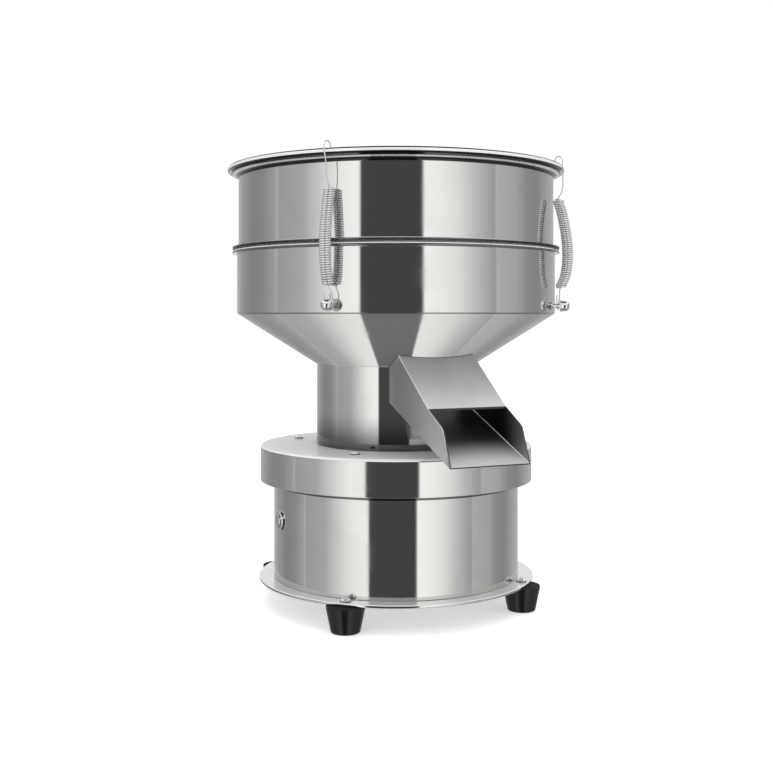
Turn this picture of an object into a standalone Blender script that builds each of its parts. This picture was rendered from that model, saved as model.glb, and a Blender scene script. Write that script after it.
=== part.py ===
"""Vibrating sieve: a steel sieve on a funnel, with a chute, on a drum that holds the electromagnet drive.

Lengths are in metres and +Z is up. The origin is on the floor under the middle of the machine's
outline. The sieve's axis stands a little behind it, because the chute reaches out towards -Y.
"""

import math

import bmesh
import bpy
from mathutils import Matrix

# Sheet, fits and roundness
SHEET = 0.0012
CLEARANCE = 0.0003
ROUND_STEPS = 48
CASTING_STEPS = 28
SMALL_STEPS = 14

# Feet, base plate and drum
FOOT_HEIGHT = 0.0217
FOOT_TOP_RADIUS = 0.016
FOOT_BOTTOM_RADIUS = 0.0115
FOOT_EDGE = 0.0012
PLATE_THICKNESS = 0.0025
PLATE_MARGIN = 0.013
DRUM_RADIUS = 0.109
DRUM_FLANGE = 0.006
DRUM_CAP_GAP = 0.0162
FOOT_SCREW_RADIUS = 0.002
FOOT_SCREW_LENGTH = 0.012
FOOT_SCREW_HEAD_RADIUS = 0.0045
FOOT_SCREW_HEAD_HEIGHT = 0.0028

# Cap and neck
BASE_HEIGHT = 0.140
CAP_OVERHANG = 0.012
CAP_SHEET = 0.0015
CAP_SKIRT = 0.031
CAP_EDGE_RADIUS = 0.0028
CAP_SCREW_RADIUS = 0.002
CAP_SCREW_LENGTH = 0.0065
CAP_SCREW_HEAD_RADIUS = 0.0042
CAP_SCREW_HEAD_HEIGHT = 0.0026
NECK_RADIUS = 0.071
NECK_HEIGHT = 0.0704
NECK_BRIDGE = 0.004

# Chute
CHUTE_WIDTH = 0.070
CHUTE_REACH = 0.174
CHUTE_LIP_DROP = 0.0015
CHUTE_SLOPE = math.radians(20.8)
CHUTE_SIDE_DEPTH = 0.0295
CHUTE_SIDE_RAKE = 0.012
HOOD_SETBACK = 0.037
HOOD_DEPTH = 0.0285
HOOD_SLOPE = math.radians(35.7)
DISCHARGE_SLOPE = math.radians(12.5)

# Sieve ring, funnel and the flange that each of them has
RIM_RADIUS = 0.150
RIM_OVERHANG = 0.0097
RIM_BEAD_RADIUS = 0.0022
RIM_FLARE_HEIGHT = 0.0115
RIM_STEP_INSET = 0.0038
SIEVE_HEIGHT = 0.0711
CONE_HEIGHT = 0.0447
FUNNEL_WALL_HEIGHT = 0.0536
FUNNEL_STEP = 0.0013
FLANGE_WIDTH = 0.0041
FLANGE_THICKNESS = 0.0012
FLANGE_ROUND = 0.0005

# Mesh, its hoop and seal
SEAL_WIDTH = 0.0046
SEAL_THICKNESS = 0.0010
MESH_THICKNESS = 0.0005
MESH_GRID_COUNT = 12
MESH_GRID_BAR = 0.003
HOOP_WIDTH = 0.0070
HOOP_THICKNESS = 0.0009

# Hooked springs, their studs and nuts. Corners are named as seen from the chute's side.
CORNERS = {"front_left": -135, "front_right": -45, "rear_right": 45, "rear_left": 135}
STUD_RISE = 0.0063
STUD_RADIUS = 0.002
STUD_FOOT_RADIUS = 0.0038
STUD_FOOT_THICKNESS = 0.0013
STUD_LENGTH = 0.0136
NUT_LENGTH = 0.0075
NUT_RADIUS = 0.0046
NUT_COLLAR_RADIUS = 0.0052
NUT_COLLAR_THICKNESS = 0.0010
SPRING_WIRE_RADIUS = 0.0005
SPRING_COIL_RADIUS = 0.0042
SPRING_TURNS = 16
SPRING_POINTS_PER_TURN = 7
SPRING_COIL_START = 0.015
SPRING_BOW = 0.0030
SPRING_LOOP_SEAT = 0.0055
HOOK_LENGTH = 0.0305
HOOK_RISE = 0.006
HOOK_OUTREACH = 0.0020
HOOK_LEAN = 0.0012

# Drive inside the drum
WEIGHT_RADIUS = 0.062
WEIGHT_HEIGHT = 0.020
LEAF_PLACES = {"right": 0, "rear": 90, "left": 180, "front": 270}
LEAF_WIDTH = 0.022
LEAF_THICKNESS = 0.0025
LEAF_TILT = math.radians(15)
LEAF_OVERHANG = 0.001
LEAF_SEAT = 0.0015
LUG_THICKNESS = 0.010
LUG_LENGTH = 0.028
LUG_SINK = 0.011
CARRIER_HEIGHT = 0.009
CARRIER_MARGIN = 0.008
CARRIER_ARM_WIDTH = 0.020
CARRIER_ARM_END = 0.007
CORE_WIDTH = 0.044
CORE_DEPTH = 0.036
CORE_LEG = 0.007
CORE_SLOT_WIDTH = 0.008
CORE_YOKE = 0.015
COIL_TOP_GAP = 0.0047
MAGNET_GAP = 0.0030
ARMATURE_THICKNESS = 0.010
ARMATURE_POST_RADIUS = 0.010
ARMATURE_POST_LENGTH = 0.0208
LEAF_BOLT_RADIUS = 0.0025
LEAF_BOLT_LENGTH = 0.0095
LEAF_BOLT_HEAD_RADIUS = 0.0046
LEAF_BOLT_HEAD_HEIGHT = 0.0034
LEAF_BOLT_INSET = 0.0085

# Push-button
BUTTON_DROP = 0.031
BUTTON_RADIUS = 0.0056
BUTTON_PROUD = 0.0022
BUTTON_LENGTH = 0.010
BUTTON_TRAVEL = 0.0015
BUTTON_BARREL_WALL = 0.0011
BUTTON_BARREL_LENGTH = 0.020
BEZEL_FLANGE = 0.0013
BEZEL_THICKNESS = 0.0016
BUTTON_NUT_WIDTH = 0.0030
BUTTON_NUT_THICKNESS = 0.0030

# Cable gland
GLAND_RISE = 0.0255
GLAND_BORE_RADIUS = 0.0036
GLAND_BARREL_WALL = 0.0024
GLAND_BARREL_LENGTH = 0.012
GLAND_COLLAR_WIDTH = 0.0035
GLAND_COLLAR_LENGTH = 0.005
GLAND_DOME_LENGTH = 0.011
GLAND_DOME_INSET = 0.001
GLAND_NUT_THICKNESS = 0.004

# Rectifier board
BOARD_LENGTH = 0.046
BOARD_WIDTH = 0.020
BOARD_THICKNESS = 0.0016
BOARD_RISE = 0.008
BOARD_ANGLE = 165
BOARD_BLOCK = 0.014

# Heights that follow, from the floor up
PLATE_BOTTOM = FOOT_HEIGHT + CLEARANCE
PLATE_TOP = PLATE_BOTTOM + PLATE_THICKNESS
DRUM_BOTTOM = PLATE_TOP + CLEARANCE
DRUM_TOP = BASE_HEIGHT - DRUM_CAP_GAP
CAP_UNDERSIDE = BASE_HEIGHT - CAP_SHEET
SKIRT_BOTTOM = BASE_HEIGHT - CAP_SKIRT
NECK_BOTTOM = BASE_HEIGHT + CLEARANCE
NECK_TOP = NECK_BOTTOM + NECK_HEIGHT
CONE_BOTTOM = NECK_TOP + CLEARANCE
CREASE = CONE_BOTTOM + CONE_HEIGHT
FUNNEL_TOP = CREASE + FUNNEL_WALL_HEIGHT
SEAL_BOTTOM = FUNNEL_TOP + CLEARANCE
MESH_BOTTOM = SEAL_BOTTOM + SEAL_THICKNESS + CLEARANCE
HOOP_BOTTOM = MESH_BOTTOM + MESH_THICKNESS + CLEARANCE
SIEVE_BOTTOM = HOOP_BOTTOM + HOOP_THICKNESS + CLEARANCE
SIEVE_TOP = SIEVE_BOTTOM + SIEVE_HEIGHT
STUD_HEIGHT = CREASE + STUD_RISE
WEIGHT_TOP = DRUM_BOTTOM + WEIGHT_HEIGHT
CARRIER_TOP = CAP_UNDERSIDE - CLEARANCE
CARRIER_BOTTOM = CARRIER_TOP - CARRIER_HEIGHT
ARMATURE_TOP = CARRIER_BOTTOM - CLEARANCE
ARMATURE_BOTTOM = ARMATURE_TOP - ARMATURE_POST_LENGTH - ARMATURE_THICKNESS
CORE_BOTTOM = WEIGHT_TOP + CLEARANCE
CORE_TOP = ARMATURE_BOTTOM - MAGNET_GAP
COIL_BOTTOM = CORE_BOTTOM + CORE_YOKE + CLEARANCE
BUTTON_HEIGHT = SKIRT_BOTTOM - BUTTON_DROP
GLAND_HEIGHT = PLATE_TOP + GLAND_RISE

# Radii that follow
DRUM_INSIDE = DRUM_RADIUS - SHEET
DRUM_FLANGE_INSIDE = DRUM_INSIDE - DRUM_FLANGE
PLATE_RADIUS = DRUM_RADIUS + PLATE_MARGIN
FOOT_CIRCLE = (DRUM_RADIUS + PLATE_RADIUS) / 2
CAP_RADIUS = DRUM_RADIUS + CAP_OVERHANG
CAP_SCREW_CIRCLE = (NECK_RADIUS + CAP_RADIUS) / 2
NECK_INSIDE = NECK_RADIUS - SHEET
SIEVE_WALL_RADIUS = RIM_RADIUS - RIM_OVERHANG
FUNNEL_RADIUS = SIEVE_WALL_RADIUS + FUNNEL_STEP
FLANGE_RADIUS = FUNNEL_RADIUS + FLANGE_WIDTH
FLANGE_FLAT_RADIUS = FLANGE_RADIUS - FLANGE_ROUND
LOOP_CIRCLE = FUNNEL_RADIUS + CLEARANCE + SPRING_LOOP_SEAT
LEAF_CIRCLE = WEIGHT_RADIUS - LEAF_WIDTH / 2 + LEAF_OVERHANG
CARRIER_RADIUS = WEIGHT_RADIUS + CARRIER_MARGIN
BOARD_CIRCLE = (WEIGHT_RADIUS + DRUM_FLANGE_INSIDE) / 2
BARREL_RADIUS = BUTTON_RADIUS + CLEARANCE + BUTTON_BARREL_WALL
GLAND_BARREL_RADIUS = GLAND_BORE_RADIUS + GLAND_BARREL_WALL
GLAND_COLLAR_RADIUS = GLAND_BARREL_RADIUS + GLAND_COLLAR_WIDTH

CONE_RISE_RATE = CONE_HEIGHT / (FUNNEL_RADIUS - NECK_RADIUS)
HOOD_REACH = CHUTE_REACH - HOOD_SETBACK

# The outline reaches from the rim at the back to the chute's lip at the front
AXIS_Y = (CHUTE_REACH - RIM_RADIUS) / 2


def clear_scene():
    for existing in list(bpy.data.objects):
        bpy.data.objects.remove(existing)


def new_collection(name):
    collection = bpy.data.collections.new(name)
    bpy.context.scene.collection.children.link(collection)
    return collection


def new_material(name, colour, metallic, roughness):
    material = bpy.data.materials.new(name)
    material.use_nodes = True
    shader = material.node_tree.nodes["Principled BSDF"]
    shader.inputs["Base Color"].default_value = (*colour, 1.0)
    shader.inputs["Metallic"].default_value = metallic
    shader.inputs["Roughness"].default_value = roughness
    return material


clear_scene()
PARTS = new_collection("vibrating_sieve")
CUTTERS = new_collection("cutters")

POLISHED_STEEL = new_material("polished_steel", (0.62, 0.61, 0.60), 1.0, 0.12)
SATIN_STEEL = new_material("satin_steel", (0.46, 0.46, 0.47), 1.0, 0.34)
CHROME = new_material("chrome", (0.78, 0.78, 0.78), 1.0, 0.06)
SPRING_STEEL = new_material("spring_steel", (0.55, 0.55, 0.56), 1.0, 0.22)
WIRE_CLOTH = new_material("wire_cloth", (0.50, 0.50, 0.51), 1.0, 0.35)
BLACK_RUBBER = new_material("black_rubber", (0.015, 0.015, 0.016), 0.0, 0.45)
WHITE_SILICONE = new_material("white_silicone", (0.72, 0.72, 0.70), 0.0, 0.50)
CAST_IRON = new_material("cast_iron", (0.10, 0.11, 0.12), 0.4, 0.60)
CAST_ALUMINIUM = new_material("cast_aluminium", (0.58, 0.58, 0.59), 1.0, 0.45)
CORE_IRON = new_material("core_iron", (0.20, 0.20, 0.21), 0.9, 0.45)
COPPER = new_material("copper", (0.62, 0.27, 0.13), 0.9, 0.35)
BLACK_NYLON = new_material("black_nylon", (0.02, 0.02, 0.02), 0.0, 0.40)
BOARD_GREEN = new_material("board_green", (0.03, 0.16, 0.07), 0.0, 0.45)


def new_frame(name, parent=None, location=(0, 0, 0)):
    """An empty that pieces are parented to."""
    frame = bpy.data.objects.new(name, None)
    PARTS.objects.link(frame)
    frame.parent = parent
    frame.location = location
    return frame


AXIS = new_frame("sieve_axis", location=(0, AXIS_Y, 0))
VIBRATING = new_frame("vibrating_frame", AXIS)
LIFTING = new_frame("lifting_frame", VIBRATING)


def place(name, data, material, parent, matrix=None):
    """Adds one named piece at its place under its parent."""
    piece = bpy.data.objects.new(name, data)
    PARTS.objects.link(piece)
    piece.parent = parent
    if matrix is not None:
        piece.matrix_local = matrix
    data.materials.clear()
    data.materials.append(material)
    return piece


def as_cutter(tool):
    """Makes a piece into a hidden tool for Boolean modifiers."""
    PARTS.objects.unlink(tool)
    CUTTERS.objects.link(tool)
    tool.hide_render = True
    tool.display_type = "WIRE"
    return tool


def combine(piece, tool, operation):
    modifier = piece.modifiers.new(f"{operation.lower()}_{tool.name}", "BOOLEAN")
    modifier.operation = operation
    modifier.solver = "EXACT"
    modifier.object = tool


def baked(piece):
    """Turns a piece with modifiers into its finished mesh and removes the piece."""
    bpy.context.view_layer.update()
    evaluated = piece.evaluated_get(bpy.context.evaluated_depsgraph_get())
    mesh = bpy.data.meshes.new_from_object(evaluated)
    mesh.name = piece.name
    bpy.data.objects.remove(piece)
    return mesh


def turned(name, profile, material, parent, steps=ROUND_STEPS, matrix=None):
    """A turned piece. The profile of (radius, height) points runs down its outer side.

    It starts and ends on the axis, or it is a loop that stays clear of the axis.
    """
    count = len(profile)
    edges = [(i, i + 1) for i in range(count - 1)]
    if profile[0][0] > 0:
        edges.append((count - 1, 0))
    mesh = bpy.data.meshes.new(name)
    mesh.from_pydata([(radius, 0, height) for radius, height in profile], edges, [])
    piece = place(name, mesh, material, parent, matrix)
    screw = piece.modifiers.new("turn", "SCREW")
    screw.steps = steps
    screw.render_steps = steps
    screw.use_merge_vertices = True
    screw.merge_threshold = 0.00001
    screw.use_smooth_shade = True
    return piece


def block(name, size, material, parent, matrix=None):
    """A rectangular block, centred on its own origin."""
    shape = bmesh.new()
    bmesh.ops.create_cube(shape, size=1.0)
    bmesh.ops.scale(shape, vec=size, verts=shape.verts)
    mesh = bpy.data.meshes.new(name)
    shape.to_mesh(mesh)
    shape.free()
    return place(name, mesh, material, parent, matrix)


def prism(name, outline, width, material, parent):
    """A side outline of (reach, height) points, drawn out to a width across X.

    Reach is measured from the sieve's axis towards -Y.
    """
    shape = bmesh.new()
    corners = [shape.verts.new((-width / 2, -reach, height)) for reach, height in outline]
    side = shape.faces.new(corners)
    drawn = bmesh.ops.extrude_face_region(shape, geom=[side])
    moved = [item for item in drawn["geom"] if isinstance(item, bmesh.types.BMVert)]
    bmesh.ops.translate(shape, vec=(width, 0, 0), verts=moved)
    bmesh.ops.recalc_face_normals(shape, faces=shape.faces)
    mesh = bpy.data.meshes.new(name)
    shape.to_mesh(mesh)
    shape.free()
    return place(name, mesh, material, parent)


def arc(centre_radius, centre_height, radius, start, end, count):
    """Points of an arc in a profile, from one angle in degrees to another."""
    points = []
    for i in range(count):
        angle = math.radians(start + (end - start) * i / (count - 1))
        point = (centre_radius + radius * math.cos(angle), centre_height + radius * math.sin(angle))
        points.append(point)
    return points


def around(angle, radius, height):
    """A place at an angle in degrees around the axis, with its own X pointing outwards."""
    return Matrix.Rotation(math.radians(angle), 4, "Z") @ Matrix.Translation((radius, 0, height))


def facing_out(angle, radius, height):
    """The same place with its own Z pointing outwards, for a piece that stands on a wall."""
    return around(angle, radius, height) @ Matrix.Rotation(math.radians(90), 4, "Y")


def upright_hole(name, radius, bottom, top, parent, angle, circle):
    """A cutter for an upright round hole."""
    profile = [(0, top), (radius, top), (radius, bottom), (0, bottom)]
    hole = turned(name, profile, CORE_IRON, parent, SMALL_STEPS, around(angle, circle, 0))
    return as_cutter(hole)


def wall_hole(name, radius, parent, angle, height, depth):
    """A cutter for a round hole through the drum's wall."""
    profile = [(0, depth), (radius, depth), (radius, -depth), (0, -depth)]
    hole = turned(name, profile, CORE_IRON, parent, SMALL_STEPS, facing_out(angle, DRUM_RADIUS, height))
    return as_cutter(hole)


def domed_screw_mesh(name, shank_radius, shank_length, head_radius, head_height):
    """A domed head that stands on zero height, with its shank below it."""
    profile = [(0, head_height)]
    for share in (0.35, 0.75, 1.0):
        fall = 1 - math.sqrt(1 - share ** 2) * 0.8
        profile.append((head_radius * share, head_height * (1 - fall)))
    profile += [(head_radius, 0), (shank_radius, 0), (shank_radius, -shank_length), (0, -shank_length)]
    return baked(turned(name, profile, CHROME, AXIS, SMALL_STEPS))


def make_base_plate():
    """Round plate that the feet hang from and the drum stands on."""
    edge = PLATE_THICKNESS * 0.3
    profile = [
        (0, PLATE_TOP),
        (PLATE_RADIUS - edge, PLATE_TOP),
        (PLATE_RADIUS, PLATE_TOP - edge),
        (PLATE_RADIUS, PLATE_BOTTOM),
        (0, PLATE_BOTTOM),
    ]
    plate = turned("base_plate", profile, POLISHED_STEEL, AXIS)
    for place_name, angle in CORNERS.items():
        hole = upright_hole(
            f"plate_hole_{place_name}", FOOT_SCREW_RADIUS + CLEARANCE,
            PLATE_BOTTOM - SHEET, PLATE_TOP + SHEET, AXIS, angle, FOOT_CIRCLE,
        )
        combine(plate, hole, "DIFFERENCE")


def make_feet():
    """Tapered rubber feet, each with a blind bore for its screw."""
    bore_radius = FOOT_SCREW_RADIUS + CLEARANCE
    bore_depth = FOOT_SCREW_LENGTH - PLATE_THICKNESS + 2 * CLEARANCE
    bore_bottom = FOOT_HEIGHT - bore_depth
    profile = [
        (0, bore_bottom),
        (bore_radius, bore_bottom),
        (bore_radius, FOOT_HEIGHT),
        (FOOT_TOP_RADIUS, FOOT_HEIGHT),
        (FOOT_TOP_RADIUS - FOOT_EDGE / 4, FOOT_HEIGHT - 2 * FOOT_EDGE),
        (FOOT_BOTTOM_RADIUS + FOOT_EDGE / 3, FOOT_EDGE),
        (FOOT_BOTTOM_RADIUS - FOOT_EDGE, 0),
        (0, 0),
    ]
    mesh = baked(turned("rubber_foot", profile, BLACK_RUBBER, AXIS, SMALL_STEPS + 4))
    for place_name, angle in CORNERS.items():
        place(f"rubber_foot_{place_name}", mesh, BLACK_RUBBER, AXIS, around(angle, FOOT_CIRCLE, 0))


def make_foot_screws():
    mesh = domed_screw_mesh(
        "foot_screw", FOOT_SCREW_RADIUS, FOOT_SCREW_LENGTH,
        FOOT_SCREW_HEAD_RADIUS, FOOT_SCREW_HEAD_HEIGHT,
    )
    seat = PLATE_TOP + CLEARANCE
    for place_name, angle in CORNERS.items():
        place(f"foot_screw_{place_name}", mesh, CHROME, AXIS, around(angle, FOOT_CIRCLE, seat))


def make_base_drum():
    """Rolled sheet drum with an inward flange at each end, a button hole and a cable hole."""
    profile = [
        (DRUM_FLANGE_INSIDE, DRUM_TOP),
        (DRUM_RADIUS - SHEET, DRUM_TOP),
        (DRUM_RADIUS, DRUM_TOP - SHEET),
        (DRUM_RADIUS, DRUM_BOTTOM),
        (DRUM_FLANGE_INSIDE, DRUM_BOTTOM),
        (DRUM_FLANGE_INSIDE, DRUM_BOTTOM + SHEET),
        (DRUM_INSIDE, DRUM_BOTTOM + SHEET),
        (DRUM_INSIDE, DRUM_TOP - SHEET),
        (DRUM_FLANGE_INSIDE, DRUM_TOP - SHEET),
    ]
    drum = turned("base_drum", profile, POLISHED_STEEL, AXIS)
    depth = 6 * SHEET
    button_hole = wall_hole(
        "button_hole", BARREL_RADIUS + CLEARANCE, AXIS, 180, BUTTON_HEIGHT, depth)
    cable_hole = wall_hole(
        "cable_hole", GLAND_BARREL_RADIUS + CLEARANCE, AXIS, 90, GLAND_HEIGHT, depth)
    combine(drum, button_hole, "DIFFERENCE")
    combine(drum, cable_hole, "DIFFERENCE")


def hex_bolt_mesh():
    """A hexagonal head that stands on zero height, with its round shank below it."""
    head_profile = [
        (0, LEAF_BOLT_HEAD_HEIGHT),
        (LEAF_BOLT_HEAD_RADIUS, LEAF_BOLT_HEAD_HEIGHT),
        (LEAF_BOLT_HEAD_RADIUS, 0),
        (0, 0),
    ]
    inside_head = LEAF_BOLT_HEAD_HEIGHT / 2
    shank_profile = [
        (0, inside_head),
        (LEAF_BOLT_RADIUS, inside_head),
        (LEAF_BOLT_RADIUS, -LEAF_BOLT_LENGTH),
        (0, -LEAF_BOLT_LENGTH),
    ]
    bolt = turned("leaf_bolt", head_profile, CHROME, AXIS, 6)
    combine(bolt, as_cutter(turned("leaf_bolt_shank", shank_profile, CHROME, AXIS, SMALL_STEPS)), "UNION")
    return baked(bolt)


def leaf_matrix(angle, shift_normal, shift_along):
    """A place beside or along a leaning leaf spring. Its own Z runs up the leaf."""
    middle = (WEIGHT_TOP + CARRIER_BOTTOM) / 2
    lean = Matrix.Rotation(LEAF_TILT, 4, "X")
    return around(angle, LEAF_CIRCLE, middle) @ lean @ Matrix.Translation((0, shift_normal, shift_along))


def leaf_length():
    """Length that leaves a seat clearance to the castings at both ends."""
    rise = CARRIER_BOTTOM - WEIGHT_TOP - 2 * LEAF_SEAT
    return rise / math.cos(LEAF_TILT) - LEAF_THICKNESS * math.tan(LEAF_TILT)


def half_leaf_span():
    """Half the way between the two castings, measured along the leaf."""
    return (CARRIER_BOTTOM - WEIGHT_TOP) / 2 / math.cos(LEAF_TILT)


def bolt_turn(side):
    """Turns a bolt's head away from the lug that it goes into."""
    return Matrix.Rotation(side * math.radians(90), 4, "X")


def bolt_cutter(name, along, side, parent, matrix):
    """A cutter for a bolt's hole through the leaf and on into the lug."""
    radius = LEAF_BOLT_RADIUS + CLEARANCE
    above = LEAF_BOLT_HEAD_HEIGHT
    below = -LEAF_BOLT_LENGTH - CLEARANCE
    seat = -side * (LEAF_THICKNESS / 2 + CLEARANCE)
    place_on_leaf = matrix @ Matrix.Translation((0, seat, along)) @ bolt_turn(side)
    profile = [(0, above), (radius, above), (radius, below), (0, below)]
    return as_cutter(turned(name, profile, CORE_IRON, parent, SMALL_STEPS, place_on_leaf))


def add_lugs(casting, side, parent):
    """Four leaning lugs that the leaf springs are bolted to. Side is -1 below, 1 above."""
    beside = side * (LEAF_THICKNESS / 2 + CLEARANCE + LUG_THICKNESS / 2)
    along = side * (half_leaf_span() + LUG_SINK / 2 - LUG_LENGTH / 2)
    bolt_along = side * (half_leaf_span() - LEAF_BOLT_INSET)
    for angle in LEAF_PLACES.values():
        lug = block(
            f"{casting.name}_lug_{angle}", (LEAF_WIDTH, LUG_THICKNESS, LUG_LENGTH),
            CAST_IRON, parent, leaf_matrix(angle, beside, along),
        )
        combine(casting, as_cutter(lug), "UNION")
    for angle in LEAF_PLACES.values():
        hole_name = f"{casting.name}_hole_{angle}"
        hole = bolt_cutter(hole_name, bolt_along, side, parent, leaf_matrix(angle, 0, 0))
        combine(casting, hole, "DIFFERENCE")


def make_base_weight():
    """Heavy round casting that the leaf springs and the magnet stand on."""
    edge = WEIGHT_HEIGHT * 0.1
    profile = [
        (0, WEIGHT_TOP),
        (WEIGHT_RADIUS - edge, WEIGHT_TOP),
        (WEIGHT_RADIUS, WEIGHT_TOP - edge),
        (WEIGHT_RADIUS, DRUM_BOTTOM),
        (0, DRUM_BOTTOM),
    ]
    weight = turned("base_weight", profile, CAST_IRON, AXIS, CASTING_STEPS)
    add_lugs(weight, -1, AXIS)


def make_leaf_springs():
    """Flat leaning springs. They turn the magnet's pull into a twist with a small lift."""
    leaf = block("leaf_spring", (LEAF_WIDTH, LEAF_THICKNESS, leaf_length()), SPRING_STEEL, AXIS)
    for side in (-1, 1):
        along = side * (half_leaf_span() - LEAF_BOLT_INSET)
        hole = bolt_cutter(f"leaf_hole_{side}", along, side, AXIS, Matrix.Identity(4))
        combine(leaf, hole, "DIFFERENCE")
    mesh = baked(leaf)
    for place_name, angle in LEAF_PLACES.items():
        place(f"leaf_spring_{place_name}", mesh, SPRING_STEEL, AXIS, leaf_matrix(angle, 0, 0))


def make_leaf_bolts():
    """Hexagonal bolts that hold each leaf spring to its lower and its upper lug."""
    mesh = hex_bolt_mesh()
    for level, side, parent in (("lower", -1, AXIS), ("upper", 1, VIBRATING)):
        beside = -side * (LEAF_THICKNESS / 2 + CLEARANCE)
        along = side * (half_leaf_span() - LEAF_BOLT_INSET)
        for place_name, angle in LEAF_PLACES.items():
            matrix = leaf_matrix(angle, beside, along) @ bolt_turn(side)
            place(f"leaf_bolt_{level}_{place_name}", mesh, CHROME, parent, matrix)


def make_magnet():
    """E-shaped core on the weight, with the coil round its middle leg."""
    height = CORE_TOP - CORE_BOTTOM
    core_middle = Matrix.Translation((0, 0, CORE_BOTTOM + height / 2))
    core = block("magnet_core", (CORE_WIDTH, CORE_DEPTH, height), CORE_IRON, AXIS, core_middle)
    slot_depth = height - CORE_YOKE
    slot_x = CORE_WIDTH / 2 - CORE_LEG - CORE_SLOT_WIDTH / 2
    for side in (-1, 1):
        slot = block(
            f"core_slot_{side}", (CORE_SLOT_WIDTH, CORE_DEPTH * 2, slot_depth * 2),
            CORE_IRON, AXIS, Matrix.Translation((side * slot_x, 0, CORE_TOP)),
        )
        combine(core, as_cutter(slot), "DIFFERENCE")
    leg = CORE_WIDTH - 2 * CORE_LEG - 2 * CORE_SLOT_WIDTH
    turn = 2 * (CORE_SLOT_WIDTH - 2 * CLEARANCE)
    hole = (leg + 2 * CLEARANCE, CORE_DEPTH + 2 * CLEARANCE)
    coil_height = CORE_TOP - COIL_TOP_GAP - COIL_BOTTOM
    coil_middle = Matrix.Translation((0, 0, COIL_BOTTOM + coil_height / 2))
    coil = block(
        "magnet_coil", (hole[0] + turn, hole[1] + turn, coil_height), COPPER, AXIS, coil_middle)
    window = block("coil_window", (hole[0], hole[1], coil_height * 2), COPPER, AXIS, coil_middle)
    combine(coil, as_cutter(window), "DIFFERENCE")


def make_spring_carrier():
    """Casting under the cap: a disc with four arms that the cap's screws go into."""
    profile = [
        (0, CARRIER_TOP),
        (CARRIER_RADIUS, CARRIER_TOP),
        (CARRIER_RADIUS, CARRIER_BOTTOM),
        (0, CARRIER_BOTTOM),
    ]
    carrier = turned("spring_carrier", profile, CAST_ALUMINIUM, VIBRATING, CASTING_STEPS)
    middle = (CARRIER_TOP + CARRIER_BOTTOM) / 2
    span = 2 * (CAP_SCREW_CIRCLE + CARRIER_ARM_END)
    for angle in (45, 135):
        arms = block(
            f"carrier_arms_{angle}", (span, CARRIER_ARM_WIDTH, CARRIER_HEIGHT * 0.9),
            CAST_ALUMINIUM, VIBRATING, around(angle, 0, middle + CARRIER_HEIGHT * 0.05),
        )
        combine(carrier, as_cutter(arms), "UNION")
    add_lugs(carrier, 1, VIBRATING)
    hole_bottom = BASE_HEIGHT + CLEARANCE - CAP_SCREW_LENGTH - CLEARANCE
    for place_name, angle in CORNERS.items():
        hole = upright_hole(
            f"carrier_hole_{place_name}", CAP_SCREW_RADIUS + CLEARANCE,
            hole_bottom, CARRIER_TOP + SHEET, VIBRATING, angle, CAP_SCREW_CIRCLE,
        )
        combine(carrier, hole, "DIFFERENCE")


def make_armature():
    """Iron plate over the magnet on a round post under the carrier."""
    middle = ARMATURE_BOTTOM + ARMATURE_THICKNESS / 2
    armature = block(
        "armature", (CORE_WIDTH, CORE_DEPTH, ARMATURE_THICKNESS), CORE_IRON, VIBRATING,
        Matrix.Translation((0, 0, middle)),
    )
    profile = [
        (0, ARMATURE_TOP),
        (ARMATURE_POST_RADIUS, ARMATURE_TOP),
        (ARMATURE_POST_RADIUS, middle),
        (0, middle),
    ]
    post = turned("armature_post", profile, CORE_IRON, VIBRATING, SMALL_STEPS)
    combine(armature, as_cutter(post), "UNION")


def make_top_cap():
    """Pressed lid with a rounded edge and a deep skirt that hangs over the drum."""
    inner_radius = CAP_RADIUS - CAP_SHEET
    inner_edge = CAP_EDGE_RADIUS - CAP_SHEET
    profile = [(0, BASE_HEIGHT)]
    profile += arc(
        CAP_RADIUS - CAP_EDGE_RADIUS, BASE_HEIGHT - CAP_EDGE_RADIUS, CAP_EDGE_RADIUS, 90, 0, 3)
    profile += [(CAP_RADIUS, SKIRT_BOTTOM), (inner_radius, SKIRT_BOTTOM)]
    profile += [(inner_radius, CAP_UNDERSIDE - inner_edge), (inner_radius - inner_edge, CAP_UNDERSIDE)]
    profile.append((0, CAP_UNDERSIDE))
    cap = turned("top_cap", profile, POLISHED_STEEL, VIBRATING)
    for place_name, angle in CORNERS.items():
        hole = upright_hole(
            f"cap_hole_{place_name}", CAP_SCREW_RADIUS + CLEARANCE,
            CAP_UNDERSIDE - SHEET, BASE_HEIGHT + SHEET, VIBRATING, angle, CAP_SCREW_CIRCLE,
        )
        combine(cap, hole, "DIFFERENCE")


def make_cap_screws():
    mesh = domed_screw_mesh(
        "cap_screw", CAP_SCREW_RADIUS, CAP_SCREW_LENGTH,
        CAP_SCREW_HEAD_RADIUS, CAP_SCREW_HEAD_HEIGHT,
    )
    seat = BASE_HEIGHT + CLEARANCE
    for place_name, angle in CORNERS.items():
        place(f"cap_screw_{place_name}", mesh, CHROME, VIBRATING, around(angle, CAP_SCREW_CIRCLE, seat))


def chute_floor_height(reach):
    """Height of the underside of the chute's floor."""
    return BASE_HEIGHT - CHUTE_LIP_DROP + (CHUTE_REACH - reach) * math.tan(CHUTE_SLOPE)


def hood_height(reach):
    """Height of the top of the chute's hood."""
    corner = chute_floor_height(HOOD_REACH) + HOOD_DEPTH
    return corner + (HOOD_REACH - reach) * math.tan(HOOD_SLOPE)


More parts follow.
